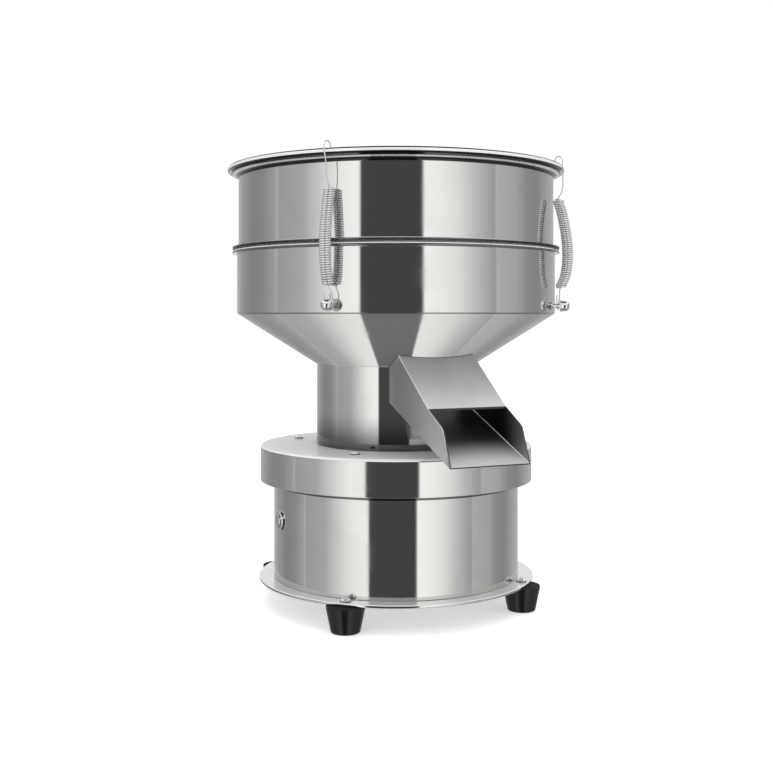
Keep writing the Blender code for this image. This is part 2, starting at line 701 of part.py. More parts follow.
def chute_outline():
    """Side view of the chute, from behind the neck's wall to the lip."""
    back = NECK_RADIUS * 0.7
    side_corner = CHUTE_REACH - CHUTE_SIDE_RAKE
    side_height = chute_floor_height(CHUTE_REACH) + CHUTE_SIDE_DEPTH
    return [
        (back, chute_floor_height(back)),
        (CHUTE_REACH, chute_floor_height(CHUTE_REACH)),
        (side_corner, side_height),
        (HOOD_REACH, hood_height(HOOD_REACH)),
        (back, hood_height(back)),
    ]


def channel_outline(back, top=None):
    """Side view of the space inside the chute. It runs out past the lip and over the open mouth."""
    floor_rise = SHEET / math.cos(CHUTE_SLOPE)
    hood_fall = SHEET / math.cos(HOOD_SLOPE)
    past_lip = CHUTE_REACH + CHUTE_SIDE_DEPTH
    above = hood_height(back)
    outline = [
        (back, chute_floor_height(back) + floor_rise),
        (past_lip, chute_floor_height(past_lip) + floor_rise),
        (past_lip, above),
        (HOOD_REACH, above),
        (HOOD_REACH, hood_height(HOOD_REACH) - hood_fall),
        (back, hood_height(back) - hood_fall),
    ]
    if top is not None:
        outline[2:] = [(past_lip, top), (back, top)]
    return outline


def make_chute():
    """Sheet-metal channel with two sides and a hood, trimmed to the neck and the funnel."""
    chute = prism("chute", chute_outline(), CHUTE_WIDTH, SATIN_STEEL, VIBRATING)
    inside = prism(
        "chute_inside", channel_outline(0), CHUTE_WIDTH - 2 * SHEET, SATIN_STEEL, VIBRATING)
    combine(chute, as_cutter(inside), "DIFFERENCE")
    cone_seat = CLEARANCE * math.sqrt(1 + CONE_RISE_RATE ** 2) / CONE_RISE_RATE
    profile = [
        (0, FUNNEL_TOP),
        (FUNNEL_RADIUS + cone_seat, FUNNEL_TOP),
        (FUNNEL_RADIUS + cone_seat, CREASE),
        (NECK_RADIUS + cone_seat, CONE_BOTTOM),
        (NECK_RADIUS + CLEARANCE, CONE_BOTTOM - CLEARANCE),
        (NECK_RADIUS + CLEARANCE, NECK_BOTTOM),
        (0, NECK_BOTTOM),
    ]
    body = turned("neck_and_funnel", profile, SATIN_STEEL, VIBRATING)
    combine(chute, as_cutter(body), "DIFFERENCE")


def make_neck():
    """Upright tube between the cap and the funnel, open at the front into the chute."""
    profile = [
        (NECK_INSIDE, NECK_TOP),
        (NECK_RADIUS, NECK_TOP),
        (NECK_RADIUS, NECK_BOTTOM),
        (NECK_INSIDE, NECK_BOTTOM),
    ]
    neck = turned("neck", profile, POLISHED_STEEL, VIBRATING)
    outline = channel_outline(NECK_RADIUS * 0.5, NECK_TOP - NECK_BRIDGE)
    opening = prism("neck_opening", outline, CHUTE_WIDTH - 2 * SHEET, SATIN_STEEL, VIBRATING)
    combine(neck, as_cutter(opening), "DIFFERENCE")


def make_discharge_floor():
    """Round plate in the neck that slopes down to the foot of the chute's opening."""
    radius = NECK_INSIDE - CLEARANCE
    fall = math.tan(DISCHARGE_SLOPE)
    front = chute_floor_height(radius) + SHEET / math.cos(CHUTE_SLOPE)
    middle = front + radius * fall - SHEET / 2
    shape = bmesh.new()
    bmesh.ops.create_cone(
        shape, cap_ends=True, segments=ROUND_STEPS, radius1=radius, radius2=radius, depth=SHEET)
    slope = Matrix.Identity(4)
    slope[2][1] = fall
    bmesh.ops.transform(shape, matrix=Matrix.Translation((0, 0, middle)) @ slope, verts=shape.verts)
    mesh = bpy.data.meshes.new("discharge_floor")
    shape.to_mesh(mesh)
    shape.free()
    place("discharge_floor", mesh, SATIN_STEEL, VIBRATING)


def make_funnel():
    """Spun funnel: flange, short upright wall and a cone down to the neck."""
    inside = FUNNEL_RADIUS - SHEET
    flange_bottom = FUNNEL_TOP - FLANGE_THICKNESS
    wall_rise = SHEET * math.sqrt(1 + CONE_RISE_RATE ** 2)
    neck_inside_height = CONE_BOTTOM + wall_rise - SHEET * CONE_RISE_RATE
    profile = [
        (inside, FUNNEL_TOP),
        (FLANGE_FLAT_RADIUS, FUNNEL_TOP),
        (FLANGE_RADIUS, FUNNEL_TOP - FLANGE_THICKNESS / 2),
        (FLANGE_FLAT_RADIUS, flange_bottom),
        (FUNNEL_RADIUS, flange_bottom),
        (FUNNEL_RADIUS, CREASE),
        (NECK_RADIUS, CONE_BOTTOM),
        (NECK_INSIDE, CONE_BOTTOM),
        (NECK_INSIDE, neck_inside_height),
        (inside, neck_inside_height + (inside - NECK_INSIDE) * CONE_RISE_RATE),
    ]
    turned("funnel", profile, POLISHED_STEEL, VIBRATING)


def make_studs_and_nuts():
    """A welded stud with a foot on the funnel's wall, and a domed nut with a collar."""
    seat = FUNNEL_RADIUS + CLEARANCE
    stud_profile = [
        (0, STUD_LENGTH),
        (STUD_RADIUS, STUD_LENGTH),
        (STUD_RADIUS, STUD_FOOT_THICKNESS),
        (STUD_FOOT_RADIUS, STUD_FOOT_THICKNESS),
        (STUD_FOOT_RADIUS, 0),
        (0, 0),
    ]
    stud = baked(turned("spring_stud", stud_profile, CHROME, VIBRATING, SMALL_STEPS - 2))
    bore = STUD_RADIUS + CLEARANCE
    nut_bottom = STUD_LENGTH - NUT_LENGTH * 0.75
    bore_end = STUD_LENGTH + CLEARANCE
    top = nut_bottom + NUT_LENGTH
    shoulder = nut_bottom + NUT_LENGTH * 0.6
    nut_profile = [
        (0, top),
        (NUT_RADIUS * 0.55, top - NUT_LENGTH * 0.08),
        (NUT_RADIUS * 0.9, shoulder),
        (NUT_RADIUS, shoulder - NUT_LENGTH * 0.05),
        (NUT_RADIUS, nut_bottom + NUT_COLLAR_THICKNESS),
        (NUT_COLLAR_RADIUS, nut_bottom + NUT_COLLAR_THICKNESS),
        (NUT_COLLAR_RADIUS, nut_bottom),
        (bore, nut_bottom),
        (bore, bore_end),
        (0, bore_end),
    ]
    nut = baked(turned("stud_nut", nut_profile, CHROME, VIBRATING, SMALL_STEPS - 2))
    for place_name, angle in CORNERS.items():
        matrix = facing_out(angle, seat, STUD_HEIGHT)
        place(f"spring_stud_{place_name}", stud, CHROME, VIBRATING, matrix)
        place(f"stud_nut_{place_name}", nut, CHROME, VIBRATING, matrix)


def make_seal_ring():
    top = SEAL_BOTTOM + SEAL_THICKNESS
    profile = [
        (FLANGE_FLAT_RADIUS - SEAL_WIDTH, top),
        (FLANGE_FLAT_RADIUS, top),
        (FLANGE_FLAT_RADIUS, SEAL_BOTTOM),
        (FLANGE_FLAT_RADIUS - SEAL_WIDTH, SEAL_BOTTOM),
    ]
    turned("seal_ring", profile, WHITE_SILICONE, VIBRATING)


def mesh_openings(radius):
    """Upright square bars on a grid, each of them whole inside a circle."""
    pitch = 2 * radius / MESH_GRID_COUNT
    size = pitch - MESH_GRID_BAR
    shape = bmesh.new()
    for column in range(MESH_GRID_COUNT):
        for row in range(MESH_GRID_COUNT):
            x = (column + 0.5) * pitch - radius
            y = (row + 0.5) * pitch - radius
            if math.hypot(abs(x) + size / 2, abs(y) + size / 2) > radius:
                continue
            centre = Matrix.Translation((x, y, MESH_BOTTOM + MESH_THICKNESS / 2))
            bar = Matrix.Diagonal((size, size, 4 * MESH_THICKNESS, 1))
            bmesh.ops.create_cube(shape, size=1.0, matrix=centre @ bar)
    mesh = bpy.data.meshes.new("mesh_openings")
    shape.to_mesh(mesh)
    shape.free()
    return as_cutter(place("mesh_openings", mesh, WIRE_CLOTH, LIFTING))


def make_mesh_screen():
    """Woven wire cloth: one sheet of the cloth's thickness with a plain grid of openings."""
    top = MESH_BOTTOM + MESH_THICKNESS
    outer = FLANGE_FLAT_RADIUS
    profile = [(0, top), (outer, top), (outer, MESH_BOTTOM), (0, MESH_BOTTOM)]
    cloth = turned("mesh_screen", profile, WIRE_CLOTH, LIFTING)
    combine(cloth, mesh_openings(outer - HOOP_WIDTH), "DIFFERENCE")


def make_mesh_hoop():
    top = HOOP_BOTTOM + HOOP_THICKNESS
    profile = [
        (FLANGE_FLAT_RADIUS - HOOP_WIDTH, top),
        (FLANGE_FLAT_RADIUS, top),
        (FLANGE_FLAT_RADIUS, HOOP_BOTTOM),
        (FLANGE_FLAT_RADIUS - HOOP_WIDTH, HOOP_BOTTOM),
    ]
    turned("mesh_hoop", profile, SATIN_STEEL, LIFTING)


def make_sieve_ring():
    """Spun ring: rolled rim, stepped flare, upright wall and a flange at its foot."""
    inside = SIEVE_WALL_RADIUS - SHEET
    flange_top = SIEVE_BOTTOM + FLANGE_THICKNESS
    step = RIM_RADIUS - RIM_STEP_INSET
    bead_radius = RIM_RADIUS - RIM_BEAD_RADIUS
    bead_height = SIEVE_TOP - RIM_BEAD_RADIUS
    step_height = SIEVE_TOP - RIM_FLARE_HEIGHT * 0.37
    flare_height = SIEVE_TOP - RIM_FLARE_HEIGHT
    flare_width = step - SIEVE_WALL_RADIUS
    profile = arc(bead_radius, bead_height, RIM_BEAD_RADIUS, 195, -75, 7)
    profile += [
        (step, step_height),
        (step, step_height - SHEET),
        (step - flare_width * 0.3, flare_height + RIM_FLARE_HEIGHT * 0.42),
        (SIEVE_WALL_RADIUS + flare_width * 0.2, flare_height + RIM_FLARE_HEIGHT * 0.12),
        (SIEVE_WALL_RADIUS, flare_height),
        (SIEVE_WALL_RADIUS, flange_top),
        (FLANGE_FLAT_RADIUS, flange_top),
        (FLANGE_RADIUS, SIEVE_BOTTOM + FLANGE_THICKNESS / 2),
        (FLANGE_FLAT_RADIUS, SIEVE_BOTTOM),
        (inside, SIEVE_BOTTOM),
        (inside, flare_height + SHEET / 2),
        (inside + flare_width * 0.2, flare_height + SHEET / 2 + RIM_FLARE_HEIGHT * 0.14),
        (step - SHEET - flare_width * 0.25, flare_height + RIM_FLARE_HEIGHT * 0.50),
        (step - SHEET, step_height - SHEET / 2),
    ]
    turned("sieve_ring", profile, POLISHED_STEEL, LIFTING)


def spring_axis(share):
    """Distance of the bowed spring's middle line from the stud's loop, for a share of its length."""
    start = SPRING_COIL_RADIUS * 0.5
    end = RIM_RADIUS + HOOK_OUTREACH - SPRING_COIL_RADIUS - LOOP_CIRCLE
    return start + (end - start) * share + SPRING_BOW * 4 * share * (1 - share)


def spring_points():
    """Middle line of the wire: loop under the stud, bowed coil, then a hook over the rim.

    X points outwards from the stud's loop, Y runs round the machine and Z is up.
    """
    loop = STUD_RADIUS + CLEARANCE + SPRING_WIRE_RADIUS
    points = [(0.0005, -loop * 1.9, loop * 3.2), (0, -loop * 1.4, loop * 1.3)]
    for angle in (180, 225, 270, 315, 360):
        turn = math.radians(angle)
        points.append((0, loop * math.cos(turn), loop * math.sin(turn)))
    points.append((spring_axis(0) * 0.4, loop * 1.2, SPRING_COIL_START * 0.55))
    coil_length = SIEVE_TOP - STUD_HEIGHT - SPRING_COIL_START - HOOK_LENGTH
    count = SPRING_TURNS * SPRING_POINTS_PER_TURN + SPRING_POINTS_PER_TURN * 3 // 4
    for i in range(count + 1):
        share = i / count
        turn = math.radians(90 + 360 * i / SPRING_POINTS_PER_TURN)
        x = spring_axis(share) + SPRING_COIL_RADIUS * math.cos(turn)
        y = SPRING_COIL_RADIUS * math.sin(turn)
        points.append((x, y, SPRING_COIL_START + coil_length * share))
    outside = RIM_RADIUS + HOOK_OUTREACH - LOOP_CIRCLE
    rim_top = SIEVE_TOP - STUD_HEIGHT
    crest = rim_top + HOOK_RISE - SPRING_WIRE_RADIUS
    over = outside - RIM_BEAD_RADIUS - HOOK_OUTREACH
    lean = -HOOK_LEAN
    points += [
        (outside, lean, rim_top - RIM_FLARE_HEIGHT),
        (outside, 2 * lean, rim_top - RIM_BEAD_RADIUS),
        (outside - HOOK_OUTREACH * 0.2, 2 * lean, (rim_top + crest) / 2),
        (over + HOOK_OUTREACH * 0.7, 1.5 * lean, crest - HOOK_RISE * 0.05),
        (over - HOOK_OUTREACH * 0.2, lean, crest),
        (over - RIM_BEAD_RADIUS, lean / 2, crest - HOOK_RISE * 0.3),
        (over - RIM_BEAD_RADIUS - HOOK_OUTREACH * 0.4, 0, rim_top + HOOK_RISE * 0.1),
    ]
    return points


def make_hook_springs():
    """Long coil springs that pull the sieve ring down on its seal."""
    points = spring_points()
    for place_name, angle in CORNERS.items():
        name = f"hook_spring_{place_name}"
        curve = bpy.data.curves.new(name, "CURVE")
        curve.dimensions = "3D"
        curve.bevel_depth = SPRING_WIRE_RADIUS
        curve.bevel_resolution = 0
        curve.use_fill_caps = True
        wire = curve.splines.new("POLY")
        wire.points.add(len(points) - 1)
        for target, point in zip(wire.points, points):
            target.co = (*point, 1.0)
        pivot = new_frame(f"{name}_pivot", VIBRATING)
        pivot.matrix_local = around(angle, LOOP_CIRCLE, STUD_HEIGHT)
        place(name, curve, SPRING_STEEL, pivot)


def hex_nut(name, bore, radius, thickness, material, matrix):
    """A nut against the inside of the drum's wall. It clears the wall's curve at its corners."""
    corner_sink = DRUM_INSIDE - math.sqrt(DRUM_INSIDE ** 2 - radius ** 2)
    top = -SHEET - 2 * CLEARANCE - corner_sink
    profile = [(0, top), (radius, top), (radius, top - thickness), (0, top - thickness)]
    nut = turned(name, profile, material, AXIS, 6, matrix)
    hole_profile = [(0, 0), (bore, 0), (bore, -4 * thickness), (0, -4 * thickness)]
    hole = turned(f"{name}_hole", hole_profile, material, AXIS, SMALL_STEPS + 6, matrix)
    combine(nut, as_cutter(hole), "DIFFERENCE")


def make_push_button():
    """Chrome collar with a closed barrel through the drum's wall, a nut inside, a domed button."""
    bore = BUTTON_RADIUS + CLEARANCE
    seat = DRUM_RADIUS + CLEARANCE
    bore_end = BEZEL_THICKNESS + BUTTON_PROUD - BUTTON_LENGTH - BUTTON_TRAVEL - 2 * CLEARANCE
    bezel_radius = BARREL_RADIUS + BEZEL_FLANGE
    bezel_profile = [
        (0, bore_end),
        (bore, bore_end),
        (bore, BEZEL_THICKNESS),
        (bezel_radius - BEZEL_THICKNESS * 0.6, BEZEL_THICKNESS),
        (bezel_radius, BEZEL_THICKNESS * 0.3),
        (bezel_radius, 0),
        (BARREL_RADIUS, 0),
        (BARREL_RADIUS, -BUTTON_BARREL_LENGTH),
        (0, -BUTTON_BARREL_LENGTH),
    ]
    matrix = facing_out(180, seat, BUTTON_HEIGHT)
    turned("button_bezel", bezel_profile, CHROME, AXIS, SMALL_STEPS + 6, matrix)
    hex_nut(
        "button_nut", BARREL_RADIUS + CLEARANCE, BARREL_RADIUS + BUTTON_NUT_WIDTH,
        BUTTON_NUT_THICKNESS, CHROME, matrix,
    )
    face = BEZEL_THICKNESS + BUTTON_PROUD
    button_profile = [(0, face)]
    for share in (0.45, 0.8, 1.0):
        button_profile.append((BUTTON_RADIUS * share, face - BUTTON_PROUD * 0.6 * share ** 3))
    button_profile += [(BUTTON_RADIUS, face - BUTTON_LENGTH), (0, face - BUTTON_LENGTH)]
    turned("power_button", button_profile, CHROME, AXIS, SMALL_STEPS + 6, matrix)


def make_cable_gland():
    """Black gland with a through bore at the back of the drum, and its nut inside."""
    seat = DRUM_RADIUS + CLEARANCE
    top = GLAND_COLLAR_LENGTH + GLAND_DOME_LENGTH
    dome_radius = GLAND_COLLAR_RADIUS - GLAND_DOME_INSET
    mouth = (GLAND_BORE_RADIUS + dome_radius) / 2
    profile = [
        (GLAND_BORE_RADIUS, top),
        (mouth, top),
        (dome_radius, top - GLAND_DOME_LENGTH * 0.4),
        (dome_radius, GLAND_COLLAR_LENGTH),
        (GLAND_COLLAR_RADIUS, GLAND_COLLAR_LENGTH),
        (GLAND_COLLAR_RADIUS, 0),
        (GLAND_BARREL_RADIUS, 0),
        (GLAND_BARREL_RADIUS, -GLAND_BARREL_LENGTH),
        (GLAND_BORE_RADIUS, -GLAND_BARREL_LENGTH),
    ]
    matrix = facing_out(90, seat, GLAND_HEIGHT)
    turned("cable_gland", profile, BLACK_NYLON, AXIS, 12, matrix)
    hex_nut(
        "gland_nut", GLAND_BARREL_RADIUS + CLEARANCE, GLAND_COLLAR_RADIUS, GLAND_NUT_THICKNESS,
        BLACK_NYLON, matrix,
    )


def make_rectifier_board():
    """Small board on two posts beside the weight, with one moulded part on it."""
    board_bottom = PLATE_TOP + CLEARANCE + BOARD_RISE
    middle = board_bottom + BOARD_THICKNESS / 2
    board = block(
        "rectifier_board", (BOARD_WIDTH, BOARD_LENGTH, BOARD_THICKNESS),
        BOARD_GREEN, AXIS, around(BOARD_ANGLE, BOARD_CIRCLE, middle),
    )
    for side in (-1, 1):
        post_height = BOARD_RISE + BOARD_THICKNESS / 2
        shift = Matrix.Translation((0, side * BOARD_LENGTH * 0.4, -post_height / 2))
        post = block(
            f"board_post_{side}", (BOARD_WIDTH * 0.3, BOARD_WIDTH * 0.3, post_height),
            BOARD_GREEN, AXIS, around(BOARD_ANGLE, BOARD_CIRCLE, middle) @ shift,
        )
        combine(board, as_cutter(post), "UNION")
    lift = Matrix.Translation((0, 0, BOARD_BLOCK / 2))
    part = block(
        "board_part", (BOARD_BLOCK, BOARD_BLOCK * 1.6, BOARD_BLOCK),
        BOARD_GREEN, AXIS, around(BOARD_ANGLE, BOARD_CIRCLE, middle) @ lift,
    )
    combine(board, as_cutter(part), "UNION")


make_base_plate()
make_feet()
make_foot_screws()
make_base_drum()
make_base_weight()
make_leaf_springs()
make_leaf_bolts()
make_magnet()
make_spring_carrier()
make_armature()
make_top_cap()
make_cap_screws()
make_chute()
make_neck()
make_discharge_floor()
make_funnel()
make_studs_and_nuts()
make_seal_ring()
make_mesh_screen()
make_mesh_hoop()
make_sieve_ring()
make_hook_springs()
make_push_button()
make_cable_gland()
make_rectifier_board()
bpy.context.view_layer.update()
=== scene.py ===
"""Looks of a vibrating sieve: a polished steel sieve and funnel, a satin chute, and a drum on rubber feet.

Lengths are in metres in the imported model's frame: +Z is up and the chute points towards -Y.
"""

import math

import bmesh
import bpy
from mathutils import Matrix, Vector


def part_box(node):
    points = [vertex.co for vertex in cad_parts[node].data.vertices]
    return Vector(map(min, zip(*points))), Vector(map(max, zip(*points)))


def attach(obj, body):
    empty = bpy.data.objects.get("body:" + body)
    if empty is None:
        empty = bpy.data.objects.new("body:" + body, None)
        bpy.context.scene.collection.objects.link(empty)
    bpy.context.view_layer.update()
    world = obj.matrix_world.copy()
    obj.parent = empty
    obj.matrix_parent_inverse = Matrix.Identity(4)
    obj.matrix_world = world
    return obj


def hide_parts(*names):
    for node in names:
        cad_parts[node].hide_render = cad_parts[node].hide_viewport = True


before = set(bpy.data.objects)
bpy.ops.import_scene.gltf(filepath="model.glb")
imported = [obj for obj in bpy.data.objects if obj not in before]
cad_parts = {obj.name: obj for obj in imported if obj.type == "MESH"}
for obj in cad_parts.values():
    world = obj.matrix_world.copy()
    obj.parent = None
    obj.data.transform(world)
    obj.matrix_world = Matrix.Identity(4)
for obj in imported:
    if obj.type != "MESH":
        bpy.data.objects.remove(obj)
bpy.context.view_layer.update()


# Camera: level, a metre from the sieve's axis and round to the left of the chute. The picture is square,
# and the sieve's axis and the horizon lie off its middle, which the lens shift takes up.
PICTURE_SIDE = 773
AXIS_COLUMN = 396
HORIZON_ROW = 317
FOCAL_PIXELS = 1112
SENSOR_WIDTH = 36
CAMERA_DISTANCE = 1.0
CAMERA_HEIGHT = 0.2526
CAMERA_AZIMUTH = math.radians(-24.5)

ring_low, ring_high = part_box("sieve_ring")
AXIS_Y = (ring_low.y + ring_high.y) / 2

lens = bpy.data.cameras.new("camera")
lens.sensor_width = SENSOR_WIDTH
lens.lens = FOCAL_PIXELS / PICTURE_SIDE * SENSOR_WIDTH
lens.shift_x = (PICTURE_SIDE / 2 - AXIS_COLUMN) / PICTURE_SIDE
lens.shift_y = (HORIZON_ROW - PICTURE_SIDE / 2) / PICTURE_SIDE
camera = bpy.data.objects.new("camera", lens)
camera.location = (
    CAMERA_DISTANCE * math.sin(CAMERA_AZIMUTH),
    AXIS_Y - CAMERA_DISTANCE * math.cos(CAMERA_AZIMUTH),
    CAMERA_HEIGHT,
)
camera.rotation_euler = (math.radians(90), 0, CAMERA_AZIMUTH)
bpy.context.scene.collection.objects.link(camera)
bpy.context.scene.camera = camera
bpy.context.scene.view_settings.view_transform = "Standard"


# Studio: even white light, with white and grey panels that only the metal sees. A dark gap stands on the
# camera's side, pale panels on both sides of it, and a bright ring above them under a dark ceiling.
DAYLIGHT = 0.92
SOFTBOX_WATTS = 6.0
SOFTBOX_SIDE = 1.4
SOFTBOX_HEIGHT = 1.7
FLOOR_RADIUS = 5.0
FLOOR_STEPS = 96
FLOOR_GLOW = 0.42
# Panels round the studio: degrees to the right of the camera, as the sieve sees them, and their brightness
PANELS = [
    (-180, 0.95), (-171, 0.90), (-167, 0.58), (-145, 0.40), (-123, 0.30), (-108, 0.33), (-94, 0.46),
    (-92.5, 0.62), (-91, 0.44), (-68, 0.52), (-52, 0.86), (-38, 1.14), (-25.5, 1.22), (-24, 0.075),
    (18, 0.070), (19.5, 1.22), (30, 1.16), (44, 0.98), (58, 0.66), (73, 0.43), (74.5, 0.62), (76, 0.56),
    (93, 0.50), (106, 0.34), (120, 0.31), (140, 0.46), (167, 0.54), (171, 0.90), (180, 0.95),
]
# Brightness of the studio above and below its panels, and how much of it the panels cover at each height
STUDIO_HEIGHTS = [
    (-90, 0.30), (-60, 0.25), (-45, 0.05), (19, 0.045), (20, 0.06),
    (23, 1.15), (52, 1.20), (60, 0.06), (90, 0.05),
]
WALL_SHARES = [(-90, 0.0), (-60, 0.0), (-48, 1.0), (17, 1.0), (19, 0.0), (90, 0.0)]


def set_inputs(tree, node, values):
    """Sets values on a node's inputs. A value that is a socket is linked."""
    for key, value in values.items():
        if isinstance(value, bpy.types.NodeSocket):
            tree.links.new(value, node.inputs[key])
        else:
            node.inputs[key].default_value = value


def add_node(tree, kind, values, **settings):
    """One node with its settings and the values on its inputs."""
    made = tree.nodes.new(kind)
    for name, value in settings.items():
        setattr(made, name, value)
    set_inputs(tree, made, values)
    return made


def value_of(tree, kind, values, output=0, **settings):
    """What a new node gives out, which is its first output unless another is named."""
    return add_node(tree, kind, values, **settings).outputs[output]


def math_node(tree, operation, *values):
    """The result of one sum on two or three numbers or sockets."""
    return value_of(tree, "ShaderNodeMath", dict(enumerate(values)), operation=operation)


def parts_of(tree, vector):
    """The X, Y and Z of a vector."""
    return add_node(tree, "ShaderNodeSeparateXYZ", {"Vector": vector}).outputs


def smooth_range(tree, value, start, end, low=0.0, high=1.0):
    """A smooth change from low to high as a value goes from start to end."""
    limits = {"Value": value, "From Min": start, "From Max": end, "To Min": low, "To Max": high}
    return value_of(tree, "ShaderNodeMapRange", limits, interpolation_type="SMOOTHSTEP")


def mixed(tree, share, first, second):
    """A colour mixed from two colours or sockets."""
    return value_of(tree, "ShaderNodeMix", {"Factor": share, 6: first, 7: second}, 2, data_type="RGBA")


def grey(value):
    return (value, value, value, 1.0)


def ramp_of(tree, angle, stops):
    """Brightness along an angle in radians, from a list of (degrees, brightness)."""
    share = math_node(tree, "MULTIPLY_ADD", angle, 180 / math.pi / 360, 0.5)
    ramp = add_node(tree, "ShaderNodeValToRGB", {"Fac": share})
    marks = ramp.color_ramp.elements
    for mark, (degrees, brightness) in zip(marks, (stops[0], stops[-1])):
        mark.position = degrees / 360 + 0.5
        mark.color = grey(brightness)
    for degrees, brightness in stops[1:-1]:
        marks.new(degrees / 360 + 0.5).color = grey(brightness)
    return ramp.outputs["Color"]


world = bpy.data.worlds.new("studio")
bpy.context.scene.world = world
world.use_nodes = True
studio = world.node_tree
studio.nodes.clear()
towards = value_of(studio, "ShaderNodeTexCoord", {}, "Generated")
turned_to_camera = value_of(
    studio, "ShaderNodeVectorRotate", {"Vector": towards, "Angle": -CAMERA_AZIMUTH}, rotation_type="Z_AXIS")
parts = parts_of(studio, turned_to_camera)
depth = math_node(studio, "MULTIPLY", parts["Y"], -1.0)
around_azimuth = math_node(studio, "ARCTAN2", parts["X"], depth)
elevation = math_node(studio, "ARCSINE", parts["Z"])
walls = ramp_of(studio, around_azimuth, PANELS)
heights = ramp_of(studio, elevation, STUDIO_HEIGHTS)
in_walls = ramp_of(studio, elevation, WALL_SHARES)
reflected = mixed(studio, in_walls, heights, walls)
ray = add_node(studio, "ShaderNodeLightPath", {}).outputs
seen_by_metal = mixed(studio, ray["Is Glossy Ray"], grey(DAYLIGHT), reflected)
seen = mixed(studio, ray["Is Camera Ray"], seen_by_metal, grey(1.0))
background = value_of(studio, "ShaderNodeBackground", {"Color": seen})
add_node(studio, "ShaderNodeOutputWorld", {"Surface": background})

softbox_light = bpy.data.lights.new("softbox", "AREA")
softbox_light.energy = SOFTBOX_WATTS
softbox_light.size = SOFTBOX_SIDE
softbox = bpy.data.objects.new("softbox", softbox_light)
softbox.location = (0, AXIS_Y, SOFTBOX_HEIGHT)
softbox.visible_glossy = False
bpy.context.scene.collection.objects.link(softbox)

floor_shape = bmesh.new()
bmesh.ops.create_circle(floor_shape, cap_ends=True, segments=FLOOR_STEPS, radius=FLOOR_RADIUS)
floor_mesh = bpy.data.meshes.new("floor")
floor_shape.to_mesh(floor_mesh)
floor_shape.free()
floor = bpy.data.objects.new("floor", floor_mesh)
bpy.context.scene.collection.objects.link(floor)
white_paper = bpy.data.materials.new("white_paper")
white_paper.use_nodes = True
paper_tree = white_paper.node_tree
by_camera = value_of(paper_tree, "ShaderNodeLightPath", {}, "Is Camera Ray")
set_inputs(paper_tree, paper_tree.nodes["Principled BSDF"], {
    "Base Color": grey(1.0), "Roughness": 1.0, "Specular IOR Level": 0.0, "Emission Color": grey(1.0),
    "Emission Strength": math_node(paper_tree, "MULTIPLY", by_camera, FLOOR_GLOW),
})
floor_mesh.materials.append(white_paper)
floor.visible_glossy = False


# Base plate: a round plate of polished stainless steel. The feet hang from its rim and the drum stands on
# it, and its cut edge is broken all round.
TURN_STEPS = 192
ARC_STEP = math.radians(12)
SUPPORT = 0.0003
SAME_PLACE = 1e-7
PLATE_EDGE = 0.0008
POLISHED_COLOUR = (0.72, 0.71, 0.695)
HAZE_AND_HIGHLIGHT_COLOUR = (0.97, 0.97, 0.965)
CLEAN_ROUGHNESS = 0.05
SMUDGED_ROUGHNESS = 0.11
SMUDGE_SIZE = 0.045
SMUDGE_DARKENING = 0.05
LINE_DEPTH = 0.0000012
BAND_BLEND = 0.00025
CONE_DULLNESS = 0.25
# How far up a face looks, as the Z of its normal, where the dull film starts and where it is full
EDGE_LOOKS_UP = (0.35, 0.5)
FLAT_LOOKS_UP = (0.97, 0.995)
# How far outwards a normal leans where the cone's ridges begin and are full, away from flats and from walls
OFF_FLATS = (0.2, 0.4)
OFF_WALLS = (0.64, 0.57)


def radius_of(node):
    low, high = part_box(node)
    return (high.x - low.x) / 2


def height_of(node):
    low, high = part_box(node)
    return low.z, high.z


def rounded_outline(corners, loop):
    """Points of an outline. Each (across, up, fillet) corner is rounded by an arc of its fillet.

    A point just past each end of an arc keeps the straight runs flat under smooth shading.
    """
    points = []
    count = len(corners)
    for i, (across, up, fillet) in enumerate(corners):
        here = Vector((across, up))
        if fillet == 0 or (not loop and i in (0, count - 1)):
            points.append(here)
            continue
        back = Vector(corners[i - 1][:2]) - here
        ahead = Vector(corners[(i + 1) % count][:2]) - here
        room = min(back.length, ahead.length) / 2
        back.normalize()
        ahead.normalize()
        half = back.angle(ahead) / 2
        reach = fillet / math.tan(half)
        centre = here + (back + ahead).normalized() * (fillet / math.sin(half))
        spoke = here + back * reach - centre
        sweep = math.pi - 2 * half
        if back.x * ahead.y - back.y * ahead.x > 0:
            sweep = -sweep
        steps = max(2, math.ceil(abs(sweep) / ARC_STEP))
        if reach + SUPPORT < room:
            points.append(here + back * (reach + SUPPORT))
        for step in range(steps + 1):
            points.append(centre + Matrix.Rotation(sweep * step / steps, 2) @ spoke)
        if reach + SUPPORT < room:
            points.append(here + ahead * (reach + SUPPORT))
    return points


def smooth_mesh(shape, name, sharp=28):
    """Closes doubles, turns the faces outwards and shades a shape smooth up to an angle in degrees."""
    bmesh.ops.remove_doubles(shape, verts=shape.verts, dist=SAME_PLACE)
    bmesh.ops.recalc_face_normals(shape, faces=shape.faces)
    mesh = bpy.data.meshes.new(name)
    shape.to_mesh(mesh)
    shape.free()
    mesh.shade_smooth()
    mesh.set_sharp_from_angle(angle=math.radians(sharp))
    return mesh


def turned_mesh(name, corners, loop=True, steps=TURN_STEPS, centre_y=0.0):
    """A mesh turned about an upright axis from (radius, height, fillet) corners."""
    shape = bmesh.new()
    outline = rounded_outline(corners, loop)
    verts = [shape.verts.new((point.x, centre_y, point.y)) for point in outline]
    edges = [shape.edges.new(pair) for pair in zip(verts, verts[1:])]
    if loop:
        edges.append(shape.edges.new((verts[-1], verts[0])))
    bmesh.ops.spin(
        shape, geom=verts + edges, cent=(0, centre_y, 0), axis=(0, 0, 1),
        angle=2 * math.pi, steps=steps, use_merge=True,
    )
    return smooth_mesh(shape, name)


